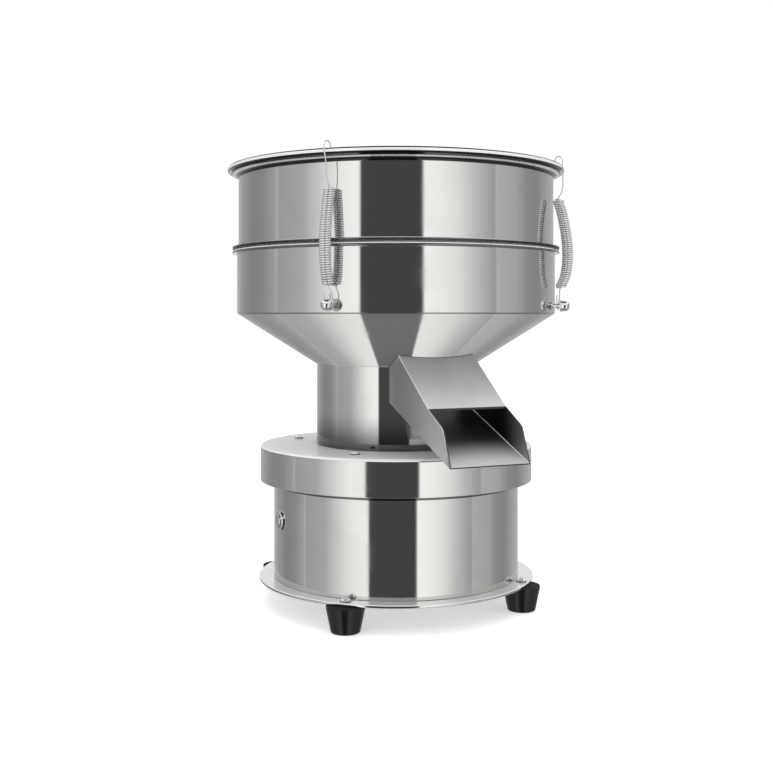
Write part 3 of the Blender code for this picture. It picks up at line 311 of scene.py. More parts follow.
def new_piece(name, mesh):
    piece = bpy.data.objects.new(name, mesh)
    bpy.context.scene.collection.objects.link(piece)
    return piece


def fit_piece(piece, material, slot, body, *nodes):
    """Finishes a piece, hides the nodes that it stands for, and sets it on its body."""
    piece.data.materials.clear()
    piece.data.materials.append(material)
    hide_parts(*nodes)
    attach(piece, body)


def new_group(name, kind, outputs, inputs):
    """A node group with named sockets, and its input and output nodes."""
    group = bpy.data.node_groups.new(name, kind)
    for title, socket, value in inputs:
        made = group.interface.new_socket(name=title, in_out="INPUT", socket_type=socket)
        if value is not None:
            made.default_value = value
    for title, socket in outputs:
        group.interface.new_socket(name=title, in_out="OUTPUT", socket_type=socket)
    return group, group.nodes.new("NodeGroupInput"), group.nodes.new("NodeGroupOutput")


def vector_of(tree, x=0.0, y=0.0, z=0.0):
    """A vector from three numbers or sockets."""
    return value_of(tree, "ShaderNodeCombineXYZ", {"X": x, "Y": y, "Z": z})


def vector_math(tree, operation, *values):
    """The result of one sum on vectors, which is a number for a length or a product of two."""
    output = "Value" if operation in ("LENGTH", "DOT_PRODUCT") else "Vector"
    return value_of(tree, "ShaderNodeVectorMath", dict(enumerate(values)), output, operation=operation)


def scaled(tree, vector, share):
    """A vector or a colour times a number."""
    return value_of(tree, "ShaderNodeVectorMath", {0: vector, "Scale": share}, operation="SCALE")


def noise(tree, place, scale, detail, distortion=0.0):
    """An uneven value from 0 to 1, with a scale in patches to a metre."""
    values = {"Vector": place, "Scale": scale, "Detail": detail, "Distortion": distortion}
    return value_of(tree, "ShaderNodeTexNoise", values)


def make_spinning_lines():
    """Fine rings that the spinning tool leaves, all round on a wall and concentric on a flat."""
    group, start, end = new_group("spinning_lines", "ShaderNodeTree", [("Height", "NodeSocketFloat")], [
        ("Position", "NodeSocketVector", None),
        ("Line Width", "NodeSocketFloat", 0.0006),
        ("Drift", "NodeSocketFloat", 6.0),
    ])
    given = start.outputs
    parts = parts_of(group, given["Position"])
    reach = vector_math(group, "LENGTH", vector_of(group, parts["X"], parts["Y"]))
    fineness = math_node(group, "DIVIDE", 1.0, given["Line Width"])
    across = math_node(group, "MULTIPLY", reach, fineness)
    up = math_node(group, "MULTIPLY", parts["Z"], fineness)
    angle = math_node(group, "ARCTAN2", parts["Y"], parts["X"])
    drift = math_node(group, "MULTIPLY", angle, given["Drift"])
    set_inputs(group, end, {"Height": noise(group, vector_of(group, across, up, drift), 1.0, 2.0)})
    return group


def make_handling_marks():
    """Soft smudges and faint patches that hands and cloths leave on bright metal."""
    outputs = [("Roughness", "NodeSocketFloat"), ("Shade", "NodeSocketFloat")]
    group, start, end = new_group("handling_marks", "ShaderNodeTree", outputs, [
        ("Position", "NodeSocketVector", None),
        ("Smudge Size", "NodeSocketFloat", SMUDGE_SIZE),
        ("Clean", "NodeSocketFloat", 0.06),
        ("Smudged", "NodeSocketFloat", 0.12),
        ("Smudge Start", "NodeSocketFloat", 0.42),
        ("Smudge Full", "NodeSocketFloat", 0.72),
    ])
    given = start.outputs
    scale = math_node(group, "DIVIDE", 1.0, given["Smudge Size"])
    patches = noise(group, given["Position"], scale, 4.0, distortion=0.6)
    strength = smooth_range(group, patches, given["Smudge Start"], given["Smudge Full"])
    span = math_node(group, "SUBTRACT", given["Smudged"], given["Clean"])
    roughness = math_node(group, "MULTIPLY_ADD", strength, span, given["Clean"])
    shade = math_node(group, "MULTIPLY_ADD", strength, -SMUDGE_DARKENING, 1.0)
    set_inputs(group, end, {"Roughness": roughness, "Shade": shade})
    return group


def make_spun_normal():
    """Leans the surface's normal towards the upright wall's, as ridges from spinning do on a cone.

    The ridges are too fine to see, but they send light out level, so a cone shows the wall's upright bands.
    """
    outputs = [("Normal", "NodeSocketVector"), ("Slope", "NodeSocketFloat")]
    inputs = [("Position", "NodeSocketVector", None), ("Lean", "NodeSocketFloat", 0.8)]
    group, start, end = new_group("spun_normal", "ShaderNodeTree", outputs, inputs)
    given = start.outputs
    normal = value_of(group, "ShaderNodeNewGeometry", {}, "Normal")
    outward = vector_math(group, "NORMALIZE", vector_math(group, "MULTIPLY", given["Position"], (1, 1, 0)))
    facing = vector_math(group, "DOT_PRODUCT", outward, normal)
    side = math_node(group, "SIGN", facing)
    slant = math_node(group, "ABSOLUTE", facing)
    off_flats = smooth_range(group, slant, *OFF_FLATS)
    off_walls = smooth_range(group, slant, *OFF_WALLS)
    sloping = math_node(group, "MULTIPLY", off_flats, off_walls)
    share = math_node(group, "MULTIPLY", math_node(group, "MULTIPLY", side, sloping), given["Lean"])
    kept = math_node(group, "SUBTRACT", 1.0, math_node(group, "ABSOLUTE", share))
    both = vector_math(group, "ADD", scaled(group, outward, share), scaled(group, normal, kept))
    set_inputs(group, end, {"Normal": vector_math(group, "NORMALIZE", both), "Slope": sloping})
    return group


SPINNING_LINES = make_spinning_lines()
SPUN_NORMAL = make_spun_normal()
HANDLING_MARKS = make_handling_marks()


def new_finish(name):
    """A material, its tree, its shader and the position from the sieve's axis."""
    material = bpy.data.materials.new(name)
    material.use_nodes = True
    tree = material.node_tree
    place = value_of(tree, "ShaderNodeTexCoord", {}, "Object")
    centred = value_of(tree, "ShaderNodeMapping", {"Vector": place, "Location": (0, -AXIS_Y, 0)})
    return material, tree, tree.nodes["Principled BSDF"], centred


def bumped(tree, height, distance, normal=None):
    """A normal raised by a height of 0 to 1 times a distance in metres."""
    values = {"Height": height, "Distance": distance, "Strength": 1.0}
    if normal is not None:
        values["Normal"] = normal
    return value_of(tree, "ShaderNodeBump", values)


def handled(tree, place, clean, smudged, size=SMUDGE_SIZE):
    """Roughness and shade of handling marks, from the roughness of clean and of smudged metal."""
    values = {"Position": place, "Smudge Size": size, "Clean": clean, "Smudged": smudged}
    return add_node(tree, "ShaderNodeGroup", values, node_tree=HANDLING_MARKS).outputs


def facing_of(tree):
    """The X, Y and Z of a face's normal."""
    return parts_of(tree, value_of(tree, "ShaderNodeNewGeometry", {}, "Normal"))


def spun_steel(
    name, line_depth=LINE_DEPTH, flat_film=0.0, edge_film=0.0, film_gloss=0.5, underside=None, lean=0.0,
    painted_foot_shade=None, bands=(),
):
    """Stainless steel that was spun and polished. Films are the dull haze on what faces up and on edges.

    Film gloss is how much the haze mirrors, and lean is how much of the spun normal a cone shows. An
    underside is a (start, end, shade) of painted shade on what faces down, and a painted foot shade the
    (foot, top, shade) of painted shade towards the foot of a wall. Bands are (low, high, shade, film)
    between two heights, where the shade is painted shade and the film a painted highlight.
    """
    material, tree, shader, place = new_finish(name)
    marks = handled(tree, place, CLEAN_ROUGHNESS, SMUDGED_ROUGHNESS)
    lines = value_of(tree, "ShaderNodeGroup", {"Position": place}, node_tree=SPINNING_LINES)
    upwards = facing_of(tree)["Z"]
    height = parts_of(tree, place)["Z"]
    film = 0.0
    if flat_film:
        on_edge = smooth_range(tree, upwards, *EDGE_LOOKS_UP, 0.0, edge_film)
        on_flat = smooth_range(tree, upwards, *FLAT_LOOKS_UP, 0.0, flat_film - edge_film)
        film = math_node(tree, "ADD", on_edge, on_flat)
    shade = marks["Shade"]
    # Painted shade on what faces down.
    if underside:
        start, end, darkest = underside
        shade = math_node(tree, "MULTIPLY", shade, smooth_range(tree, upwards, start, end, 1.0, darkest))
    # Painted shade towards the foot of a wall.
    if painted_foot_shade:
        foot, top, darkest = painted_foot_shade
        shade = math_node(tree, "MULTIPLY", shade, smooth_range(tree, height, foot, top, darkest, 1.0))
    # Bands of painted shade, with a painted highlight where they have a film.
    for low, high, band_shade, band_film in bands:
        above = smooth_range(tree, height, low - BAND_BLEND, low + BAND_BLEND)
        past = smooth_range(tree, height, high - BAND_BLEND, high + BAND_BLEND)
        within = math_node(tree, "SUBTRACT", above, past)
        change = math_node(tree, "MULTIPLY_ADD", within, band_shade - 1, 1.0)
        shade = math_node(tree, "MULTIPLY", shade, change)
        if band_film:
            film = math_node(tree, "MULTIPLY_ADD", within, band_film, film)
    steel = scaled(tree, POLISHED_COLOUR, shade)
    metallic = 1.0
    normal = None
    if film:
        steel = mixed(tree, film, steel, (*HAZE_AND_HIGHLIGHT_COLOUR, 1.0))
        metallic = math_node(tree, "SUBTRACT", 1.0, film)
    if lean:
        leaned = add_node(
            tree, "ShaderNodeGroup", {"Position": place, "Lean": lean}, node_tree=SPUN_NORMAL).outputs
        normal = leaned["Normal"]
        metallic = math_node(tree, "MULTIPLY_ADD", leaned["Slope"], -CONE_DULLNESS, metallic)
    set_inputs(tree, shader, {
        "Base Color": steel, "Metallic": metallic, "Roughness": marks["Roughness"],
        "Specular IOR Level": film_gloss, "Normal": bumped(tree, lines, line_depth, normal),
    })
    return material


POLISHED_STEEL = spun_steel("polished_steel", flat_film=0.65, edge_film=0.9, film_gloss=0.2)

plate_bottom, plate_top = height_of("base_plate")
plate_radius = radius_of("base_plate")
plate_corners = [
    (0, plate_top, 0),
    (plate_radius, plate_top, PLATE_EDGE),
    (plate_radius, plate_bottom, PLATE_EDGE),
    (0, plate_bottom, 0),
]
plate_mesh = turned_mesh("base_plate", plate_corners, loop=False, centre_y=AXIS_Y)
base_plate = new_piece("base_plate_polished", plate_mesh)
fit_piece(base_plate, POLISHED_STEEL, "polished_steel", "base", "base_plate")


# Drum: polished sheet rolled into a housing for the drive, with a narrow flange turned in at both ends.
# It has a round hole for the push-button on the left and one for the mains lead at the back.
SHEET = 0.0012
DRUM_FLANGE = 0.006
DRUM_FOLD = 0.0012
# How far below the cap's skirt the drum's painted shadow reaches, and how dark it is
LIP_SHADOW = 0.0038
LIP_SHADE = 0.2
BUTTON_HOLE = 0.0073
LEAD_HOLE = 0.0063
HOLE_STEPS = 48
FITTING_STEPS = 64
HOLE_REACH = 0.008
HOLE_ROW = 0.008
SEAT_GAP = 0.0003


def middle_height(node):
    low, high = height_of(node)
    return (low + high) / 2


def on_drum(angle, height):
    """A place on the drum's wall at an angle in degrees, with its own Z pointing outwards."""
    spin = Matrix.Rotation(math.radians(angle), 4, "Z")
    stand = Matrix.Rotation(math.radians(90), 4, "Y")
    return Matrix.Translation((0, AXIS_Y, height)) @ spin @ Matrix.Translation((drum_radius, 0, 0)) @ stand


def outward_mesh(name, corners, angle, height, steps=FITTING_STEPS):
    """A mesh turned from (radius, distance out of the drum's wall, fillet) corners."""
    mesh = turned_mesh(name, corners, loop=False, steps=steps)
    mesh.transform(on_drum(angle, height))
    return mesh


def finished_mesh(piece):
    """The evaluated mesh of a piece with its modifiers. The piece itself is removed."""
    evaluated = piece.evaluated_get(bpy.context.evaluated_depsgraph_get())
    mesh = bpy.data.meshes.new_from_object(evaluated)
    mesh.name = piece.name
    bpy.data.objects.remove(piece)
    return mesh


def cut_mesh(mesh, *tools, sharp=30):
    """A mesh with the shapes of other meshes taken out of it, shaded smooth up to an angle in degrees."""
    piece = new_piece(mesh.name, mesh)
    cutters = [new_piece(tool.name, tool) for tool in tools]
    for cutter in cutters:
        hole = piece.modifiers.new("cut", "BOOLEAN")
        hole.operation = "DIFFERENCE"
        hole.solver = "EXACT"
        hole.object = cutter
    bpy.context.view_layer.update()
    result = finished_mesh(piece)
    for cutter in cutters:
        bpy.data.objects.remove(cutter)
    result.shade_smooth()
    result.set_sharp_from_angle(angle=math.radians(sharp))
    return result


def wall_hole(name, radius, angle, height):
    """The shape that leaves a round hole in the drum's wall."""
    corners = [(0, HOLE_REACH, 0), (radius, HOLE_REACH, 0), (radius, -HOLE_REACH, 0), (0, -HOLE_REACH, 0)]
    return outward_mesh(name, corners, angle, height, HOLE_STEPS)


drum_bottom, drum_top = height_of("base_drum")
drum_radius = radius_of("base_drum")
drum_inside = drum_radius - SHEET
button_height = middle_height("power_button")
lead_height = middle_height("cable_gland")
skirt_bottom, cap_top = height_of("top_cap")
hole_rows = [height + side * HOLE_ROW for height in (button_height, lead_height) for side in (1, -1)]
drum_corners = [
    (drum_inside - DRUM_FLANGE, drum_top, 0.0003),
    (drum_radius, drum_top, DRUM_FOLD),
    *[(drum_radius, row, 0) for row in hole_rows],
    (drum_radius, drum_bottom, 0.0002),
    (drum_inside - DRUM_FLANGE, drum_bottom, 0.0002),
    (drum_inside - DRUM_FLANGE, drum_bottom + SHEET, 0.0002),
    (drum_inside, drum_bottom + SHEET, 0.0002),
    (drum_inside, drum_top - SHEET, 0.0002),
    (drum_inside - DRUM_FLANGE, drum_top - SHEET, 0.0003),
]
drum_mesh = cut_mesh(
    turned_mesh("base_drum", drum_corners, centre_y=AXIS_Y),
    wall_hole("button_hole", BUTTON_HOLE, 180, button_height),
    wall_hole("lead_hole", LEAD_HOLE, 90, lead_height),
)
# A painted shadow darkens the drum just under the cap's skirt.
DRUM_STEEL = spun_steel(
    "polished_drum_steel", bands=[(skirt_bottom - LIP_SHADOW, drum_top, LIP_SHADE, 0.0)])
drum = new_piece("base_drum_polished", drum_mesh)
fit_piece(drum, DRUM_STEEL, "polished_steel", "base", "base_drum")


# Rubber feet: four moulded cones of black rubber, wider at the top, with a blunt lower edge. They have the
# slight gloss and fine grain of a polished mould.
CORNER_PLACES = ("front_left", "front_right", "rear_right", "rear_left")
FIRST_CORNER = math.radians(45)
FOOT_FILLET = 0.0016
FOOT_COLLAR = 0.0024
FOOT_BOTTOM_RADIUS = 0.0119
FOOT_STEPS = 96
TURN_SEED = 3
# What a noise texture mostly covers, and how far a face is turned to an axis before it counts as facing it
NOISE_SPAN = (0.3, 0.7)
TURNED_TO = (0.5, 0.9)


def close_tree(tree, geometry, material, end):
    """Turns the copies in a tree into one plain mesh, gives it its material and hands it out."""
    real = value_of(tree, "GeometryNodeRealizeInstances", {"Geometry": geometry})
    coloured = value_of(tree, "GeometryNodeSetMaterial", {"Geometry": real, "Material": material})
    set_inputs(tree, end, {"Geometry": coloured})


def make_ring_tree():
    """Puts copies of the piece it is on round the sieve's axis, each turned a little about its own axis."""
    outputs = [("Geometry", "NodeSocketGeometry")]
    tree, start, end = new_group("ring_of_copies", "GeometryNodeTree", outputs, [
        ("Geometry", "NodeSocketGeometry", None),
        ("Circle", "NodeSocketFloat", 0.1),
        ("Height", "NodeSocketFloat", 0.0),
        ("Count", "NodeSocketInt", 4),
        ("First Angle", "NodeSocketFloat", FIRST_CORNER),
        ("Tilt", "NodeSocketFloat", 0.0),
        ("Own Turn", "NodeSocketFloat", 0.0),
        ("Material", "NodeSocketMaterial", None),
    ])
    given = start.outputs
    points = value_of(tree, "GeometryNodePoints", {"Count": given["Count"]})
    index = value_of(tree, "GeometryNodeInputIndex", {})
    step = math_node(tree, "DIVIDE", 2 * math.pi, given["Count"])
    angle = math_node(tree, "MULTIPLY_ADD", index, step, given["First Angle"])
    x = math_node(tree, "MULTIPLY", math_node(tree, "COSINE", angle), given["Circle"])
    y = math_node(tree, "MULTIPLY_ADD", math_node(tree, "SINE", angle), given["Circle"], AXIS_Y)
    place = vector_of(tree, x, y, given["Height"])
    placed = value_of(tree, "GeometryNodeSetPosition", {"Geometry": points, "Position": place})
    copies = value_of(tree, "GeometryNodeInstanceOnPoints", {
        "Points": placed, "Instance": given["Geometry"],
        "Rotation": vector_of(tree, y=given["Tilt"], z=angle),
    })
    chance = value_of(
        tree, "FunctionNodeRandomValue", {"ID": index, "Seed": TURN_SEED}, 1, data_type="FLOAT")
    own_turn = vector_of(tree, z=math_node(tree, "MULTIPLY", chance, given["Own Turn"]))
    twisted = value_of(
        tree, "GeometryNodeRotateInstances",
        {"Instances": copies, "Rotation": own_turn, "Local Space": True},
    )
    close_tree(tree, twisted, given["Material"], end)
    return tree


def run_tree(name, data, tree, **values):
    """The plain mesh that a Geometry Nodes tree makes from a mesh or a curve."""
    source = bpy.data.objects.new(name, data)
    bpy.context.scene.collection.objects.link(source)
    modifier = source.modifiers.new(tree.name, "NODES")
    modifier.node_group = tree
    for item in tree.interface.items_tree:
        key = item.name.lower().replace(" ", "_")
        if item.in_out == "INPUT" and key in values:
            modifier[item.identifier] = values[key]
    bpy.context.view_layer.update()
    return finished_mesh(source)


RING_OF_COPIES = make_ring_tree()


def grained(name, colour, roughness, grain, depth, metallic=0.0, shine=0.5, spread=0.15, dull_top=0.0):
    """A moulded or cast finish: one colour with a fine grain that also varies its gloss.

    A dull top is how much rougher the finish is on what faces up.
    """
    material, tree, shader, place = new_finish(name)
    speckle = noise(tree, place, 1 / grain, 5.0)
    patches = noise(tree, place, 1 / (20 * grain), 3.0)
    gloss = smooth_range(tree, patches, *NOISE_SPAN, roughness * 0.85, roughness * 1.15)
    if dull_top:
        dullness = smooth_range(tree, facing_of(tree)["Z"], *TURNED_TO, 0.0, dull_top)
        gloss = math_node(tree, "ADD", gloss, dullness)
    shade = smooth_range(tree, patches, *NOISE_SPAN, 1 - spread, 1 + spread)
    set_inputs(tree, shader, {
        "Base Color": scaled(tree, colour, shade), "Metallic": metallic, "Roughness": gloss,
        "Specular IOR Level": shine, "Normal": bumped(tree, speckle, depth),
    })
    return material


BLACK_RUBBER = grained(
    "black_rubber", (0.010, 0.010, 0.011), roughness=0.22, grain=0.0006, depth=0.00002,
    shine=0.35, dull_top=0.6,
)

foot_top = height_of("rubber_foot_front_left")[1]
foot_radius = radius_of("rubber_foot_front_left")
foot_corners = [
    (0, foot_top, 0),
    (foot_radius, foot_top, 0.0005),
    (foot_radius, foot_top - FOOT_COLLAR, 0.0004),
    (FOOT_BOTTOM_RADIUS, 0, FOOT_FILLET),
    (0, 0, 0),
]
plate_hole_circle = (plate_radius + drum_radius) / 2
feet_mesh = run_tree(
    "rubber_feet", turned_mesh("rubber_foot", foot_corners, loop=False, steps=FOOT_STEPS),
    RING_OF_COPIES, circle=plate_hole_circle, material=BLACK_RUBBER,
)
foot_nodes = [f"rubber_foot_{place}" for place in CORNER_PLACES]
feet = new_piece("rubber_feet", feet_mesh)
fit_piece(feet, BLACK_RUBBER, "black_rubber", "base", *foot_nodes)


# Foot screws: chromed pan heads with a cross recess, one over each foot. They go down through the plate
# into the rubber.
FOOT_SHANK = 0.012
SHANK_RADIUS = 0.002
SCREW_TURN = 1.2
# Shares of a pan head's radius and height
CROWN_RADIUS = 0.62
CROWN_HEIGHT = 0.86
HEAD_SIDE_HEIGHT = 0.32
RECESS_LENGTH = 1.15
RECESS_DEPTH = 0.55
RECESS_TAPER = 0.55
RECESS_WIDTH = 0.00085
RECESS_CLEARANCE = 0.0005
SMALL_SMUDGE = 0.008
SIDES_TO_TOP = (0.3, 0.55)


def bright_metal(name, colour, roughness, metallic=1.0, painted_upright_shade=1.0):
    """Chrome or plated steel with faint handling marks. Painted side shade darkens what stands upright."""
    material, tree, shader, place = new_finish(name)
    marks = handled(tree, place, roughness, roughness * 2, SMALL_SMUDGE)
    shade = marks["Shade"]
    if painted_upright_shade < 1:
        upright_painted_shade = smooth_range(tree, facing_of(tree)["Z"], *SIDES_TO_TOP, painted_upright_shade, 1.0)
        shade = math_node(tree, "MULTIPLY", shade, upright_painted_shade)
    set_inputs(tree, shader, {
        "Base Color": scaled(tree, colour, shade), "Metallic": metallic, "Roughness": marks["Roughness"],
    })
    return material


CHROME = bright_metal("chrome", (0.78, 0.78, 0.78), roughness=0.05)
# The screw heads get painted shade on their upright sides.
SCREW_CHROME = bright_metal(
    "screw_chrome", (0.86, 0.86, 0.86), roughness=0.08, metallic=0.6, painted_upright_shade=0.3)


def recess_blade(name, length, depth, top, turn):
    """One blade of a cross recess. It narrows towards its lower end."""
    shape = bmesh.new()
    bmesh.ops.create_cube(shape, size=1.0)
    for vert in shape.verts:
        narrowing = RECESS_TAPER if vert.co.z < 0 else 1.0
        vert.co.x *= length * narrowing
        vert.co.y *= RECESS_WIDTH * narrowing
        vert.co.z = top + RECESS_CLEARANCE if vert.co.z > 0 else top - depth
    bmesh.ops.rotate(shape, verts=shape.verts, cent=(0, 0, 0), matrix=Matrix.Rotation(turn, 3, "Z"))
    mesh = bpy.data.meshes.new(name)
    shape.to_mesh(mesh)
    shape.free()
    return mesh


def pan_head_mesh(name, radius, height, shank):
    """A pan head with a cross recess. Its underside is at zero and its shank hangs below."""
    corners = [
        (0, height, 0),
        (radius * CROWN_RADIUS, height * CROWN_HEIGHT, radius * 0.8),
        (radius, height * HEAD_SIDE_HEIGHT, radius * 0.25),
        (radius, 0, radius * 0.04),
        (SHANK_RADIUS, 0, 0),
        (SHANK_RADIUS, -shank, SHANK_RADIUS * 0.2),
        (0, -shank, 0),
    ]
    head = turned_mesh(name, corners, loop=False, steps=FITTING_STEPS)
    blades = [
        recess_blade(f"blade_{turn}", radius * RECESS_LENGTH, height * RECESS_DEPTH, height, turn)
        for turn in (0, math.pi / 2)
    ]
    return cut_mesh(head, *blades, sharp=35)


def ring_of_screws(name, node, body, circle, shank):
    """Puts four equal screws round the axis, sized and placed by the nodes that they stand for."""
    nodes = [f"{node}_{place}" for place in CORNER_PLACES]
    low, high = height_of(nodes[0])
    seat = low + shank
    head = pan_head_mesh(name, radius_of(nodes[0]), high - seat, shank)
    mesh = run_tree(
        name, head, RING_OF_COPIES,
        circle=circle, height=seat, own_turn=SCREW_TURN, material=SCREW_CHROME,
    )
    fit_piece(new_piece(name, mesh), SCREW_CHROME, "chrome", body, *nodes)


ring_of_screws("foot_screws", "foot_screw", "base", plate_hole_circle, FOOT_SHANK)


# Push-button: a chromed collar with a closed barrel through the drum's wall, which a hexagonal nut holds
# from inside. The domed, chromed button slides in it.
BEZEL_FLANGE = 0.0013
BUTTON_DOME = 0.0013
BUTTON_TRAVEL = 0.0015
DOME_STEPS = 9
DOME_POWER = 2.5

button_low, button_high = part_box("power_button")
bezel_low, bezel_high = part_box("button_bezel")
button_radius = (button_high.z - button_low.z) / 2
button_face = -button_low.x - drum_radius
button_back = -button_high.x - drum_radius
bezel_radius = (bezel_high.z - bezel_low.z) / 2
bezel_face = -bezel_low.x - drum_radius
bezel_back = -bezel_high.x - drum_radius
barrel_radius = bezel_radius - BEZEL_FLANGE
bore_end = button_back - BUTTON_TRAVEL - SEAT_GAP
bezel_corners = [
    (0, bore_end, 0),
    (button_radius + SEAT_GAP, bore_end, 0),
    (button_radius + SEAT_GAP, bezel_face, 0.0002),
    (bezel_radius, bezel_face, 0.0009),
    (bezel_radius, SEAT_GAP, 0.0001),
    (barrel_radius, SEAT_GAP, 0),
    (barrel_radius, bezel_back, 0.0004),
    (0, bezel_back, 0),
]
button_corners = []
for dome_step in range(DOME_STEPS):
    dome_share = dome_step / DOME_STEPS
    dome_drop = BUTTON_DOME * dome_share ** DOME_POWER
    button_corners.append((button_radius * dome_share, button_face - dome_drop, 0))
button_corners += [
    (button_radius, button_face - BUTTON_DOME, 0.0003),
    (button_radius, button_back, 0.0002),
    (0, button_back, 0),
]
bezel = new_piece("button_collar", outward_mesh("button_collar", bezel_corners, 180, button_height))
fit_piece(bezel, CHROME, "chrome", "base", "button_bezel")
button = new_piece("domed_button", outward_mesh("domed_button", button_corners, 180, button_height))
fit_piece(button, CHROME, "chrome", "power_button", "power_button")


def finish_nodes(material, *nodes):
    """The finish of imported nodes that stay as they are."""
    for node in nodes:
        for node_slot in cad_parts[node].material_slots:
            node_slot.material = material


finish_nodes(CHROME, "button_nut")


# Cable gland: black nylon, screwed through the drum's wall at the back and held by a nut. Its cap has
# moulded grips, and its bore is open where the mains lead is pushed in.
GLAND_COLLAR_WIDTH = 0.0035
GLAND_COLLAR_LENGTH = 0.005
GLAND_BORE = 0.0036
GLAND_DOME_INSET = 0.001
GLAND_GRIPS = 16
GRIP_DEPTH = 0.0006
GRIP_SHARE = 0.6
GRIP_SLACK = 0.0001
STEPS_A_GRIP = 8

gland_low, gland_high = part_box("cable_gland")
gland_radius = (gland_high.z - gland_low.z) / 2
gland_face = gland_high.y - AXIS_Y - drum_radius
gland_back = gland_low.y - AXIS_Y - drum_radius
dome_radius = gland_radius - GLAND_DOME_INSET
gland_barrel = gland_radius - GLAND_COLLAR_WIDTH
collar_top = SEAT_GAP + GLAND_COLLAR_LENGTH
grip_top = collar_top + (gland_face - collar_top) * GRIP_SHARE
gland_corners = [
    (GLAND_BORE, gland_face, 0.0004),
    ((GLAND_BORE + dome_radius) / 2, gland_face, 0.0010),
    (dome_radius, grip_top, 0.0018),
    (dome_radius, collar_top + 0.0004, 0.0003),
    (gland_radius, collar_top, 0.0004),
    (gland_radius, SEAT_GAP, 0.0003),
    (gland_barrel, SEAT_GAP, 0),
    (gland_barrel, gland_back, 0.0003),
    (GLAND_BORE, gland_back, 0.0003),
]
BLACK_NYLON = grained(
    "black_nylon", (0.018, 0.018, 0.019), roughness=0.38, grain=0.0005, depth=0.000015)
gland_mesh = turned_mesh("cable_gland", gland_corners, steps=GLAND_GRIPS * STEPS_A_GRIP)
for gland_vert in gland_mesh.vertices:
    out = Vector(gland_vert.co[:2])
    if abs(out.length - dome_radius) < GRIP_SLACK and gland_vert.co.z > collar_top:
        grip = max(0.0, math.cos(math.atan2(out.y, out.x) * GLAND_GRIPS))
        gland_vert.co.xy = out * (1 - GRIP_DEPTH * grip / out.length)
gland_mesh.transform(on_drum(90, lead_height))
gland = new_piece("cable_gland_moulded", gland_mesh)
fit_piece(gland, BLACK_NYLON, "black_nylon", "base", "cable_gland")
finish_nodes(BLACK_NYLON, "gland_nut")


# Drive inside the drum: a cast-iron weight on the plate, the magnet with its coil, four leaning leaf
# springs with their bolts, and the aluminium carrier under the cap. None of it shows from outside.
LEAF_PLACES = ("right", "rear", "left", "front")


def layered(name, colour, roughness, layer, depth, axis, metallic=1.0):
    """Thin layers that lie on each other along one axis, such as iron sheets or turns of wire."""
    material, tree, shader, place = new_finish(name)
    turn = math_node(tree, "MULTIPLY", parts_of(tree, place)[axis], 2 * math.pi / layer)
    wave = math_node(tree, "MULTIPLY_ADD", math_node(tree, "SINE", turn), 0.5, 0.5)
    patches = noise(tree, place, 1 / (8 * layer), 3.0)
    gap_shade = smooth_range(tree, wave, 0.0, 0.35, 0.45, 1.0)
    patch_shade = smooth_range(tree, patches, *NOISE_SPAN, 0.85, 1.1)
    shade = math_node(tree, "MULTIPLY", gap_shade, patch_shade)
    set_inputs(tree, shader, {
        "Base Color": scaled(tree, colour, shade), "Metallic": metallic,
        "Roughness": smooth_range(tree, patches, *NOISE_SPAN, roughness, roughness * 1.3),
        "Normal": bumped(tree, wave, depth),
    })
    return material


CAST_IRON = grained(
    "cast_iron", (0.10, 0.11, 0.12), roughness=0.6, grain=0.0015, depth=0.00008, metallic=0.4)
CAST_ALUMINIUM = grained(
    "cast_aluminium", (0.58, 0.58, 0.59), roughness=0.45, grain=0.0010, depth=0.00005, metallic=1.0)
CORE_IRON = layered(
    "core_iron", (0.20, 0.20, 0.21), roughness=0.42, layer=0.0005, depth=0.00003, axis="Y", metallic=0.9)
COPPER = layered(
    "copper", (0.62, 0.27, 0.13), roughness=0.3, layer=0.0009, depth=0.00020, axis="Z", metallic=0.9)
BOARD_GREEN = grained(
    "board_green", (0.03, 0.16, 0.07), roughness=0.42, grain=0.0020, depth=0.00002)
LEAF_STEEL = bright_metal("leaf_steel", (0.30, 0.31, 0.34), roughness=0.24)
leaf_springs = [f"leaf_spring_{place}" for place in LEAF_PLACES]
leaf_bolts = [f"leaf_bolt_{level}_{place}" for level in ("lower", "upper") for place in LEAF_PLACES]

finish_nodes(CAST_IRON, "base_weight")
finish_nodes(LEAF_STEEL, *leaf_springs)
finish_nodes(CHROME, *leaf_bolts)
finish_nodes(CORE_IRON, "magnet_core", "armature")
finish_nodes(COPPER, "magnet_coil")
finish_nodes(CAST_ALUMINIUM, "spring_carrier")
finish_nodes(BOARD_GREEN, "rectifier_board")


# Top cap: a pressed lid of polished steel with a deep skirt over the drum. Its rounded edge is the bright
# line round the base. Four pan heads hold it to the casting below.
CAP_SHEET = 0.0015
CAP_FOLD = 0.0028
CAP_SHANK = 0.0065

cap_radius = radius_of("top_cap")
cap_inside = cap_radius - CAP_SHEET
cap_corners = [
    (0, cap_top, 0),
    (cap_radius, cap_top, CAP_FOLD),
    (cap_radius, skirt_bottom, 0.0004),
    (cap_inside, skirt_bottom, 0.0004),
    (cap_inside, cap_top - CAP_SHEET, CAP_FOLD - CAP_SHEET),
    (0, cap_top - CAP_SHEET, 0),
]
cap = new_piece("top_cap_polished", turned_mesh("top_cap", cap_corners, loop=False, centre_y=AXIS_Y))
CAP_STEEL = spun_steel("polished_cap_steel", flat_film=0.80, edge_film=0.9, film_gloss=0.0)
fit_piece(cap, CAP_STEEL, "polished_steel", "vibrating_body", "top_cap")

neck_bottom, neck_top = height_of("neck")
neck_radius = radius_of("neck")
cap_screw_circle = (neck_radius + cap_radius) / 2
ring_of_screws("cap_screws", "cap_screw", "vibrating_body", cap_screw_circle, CAP_SHANK)


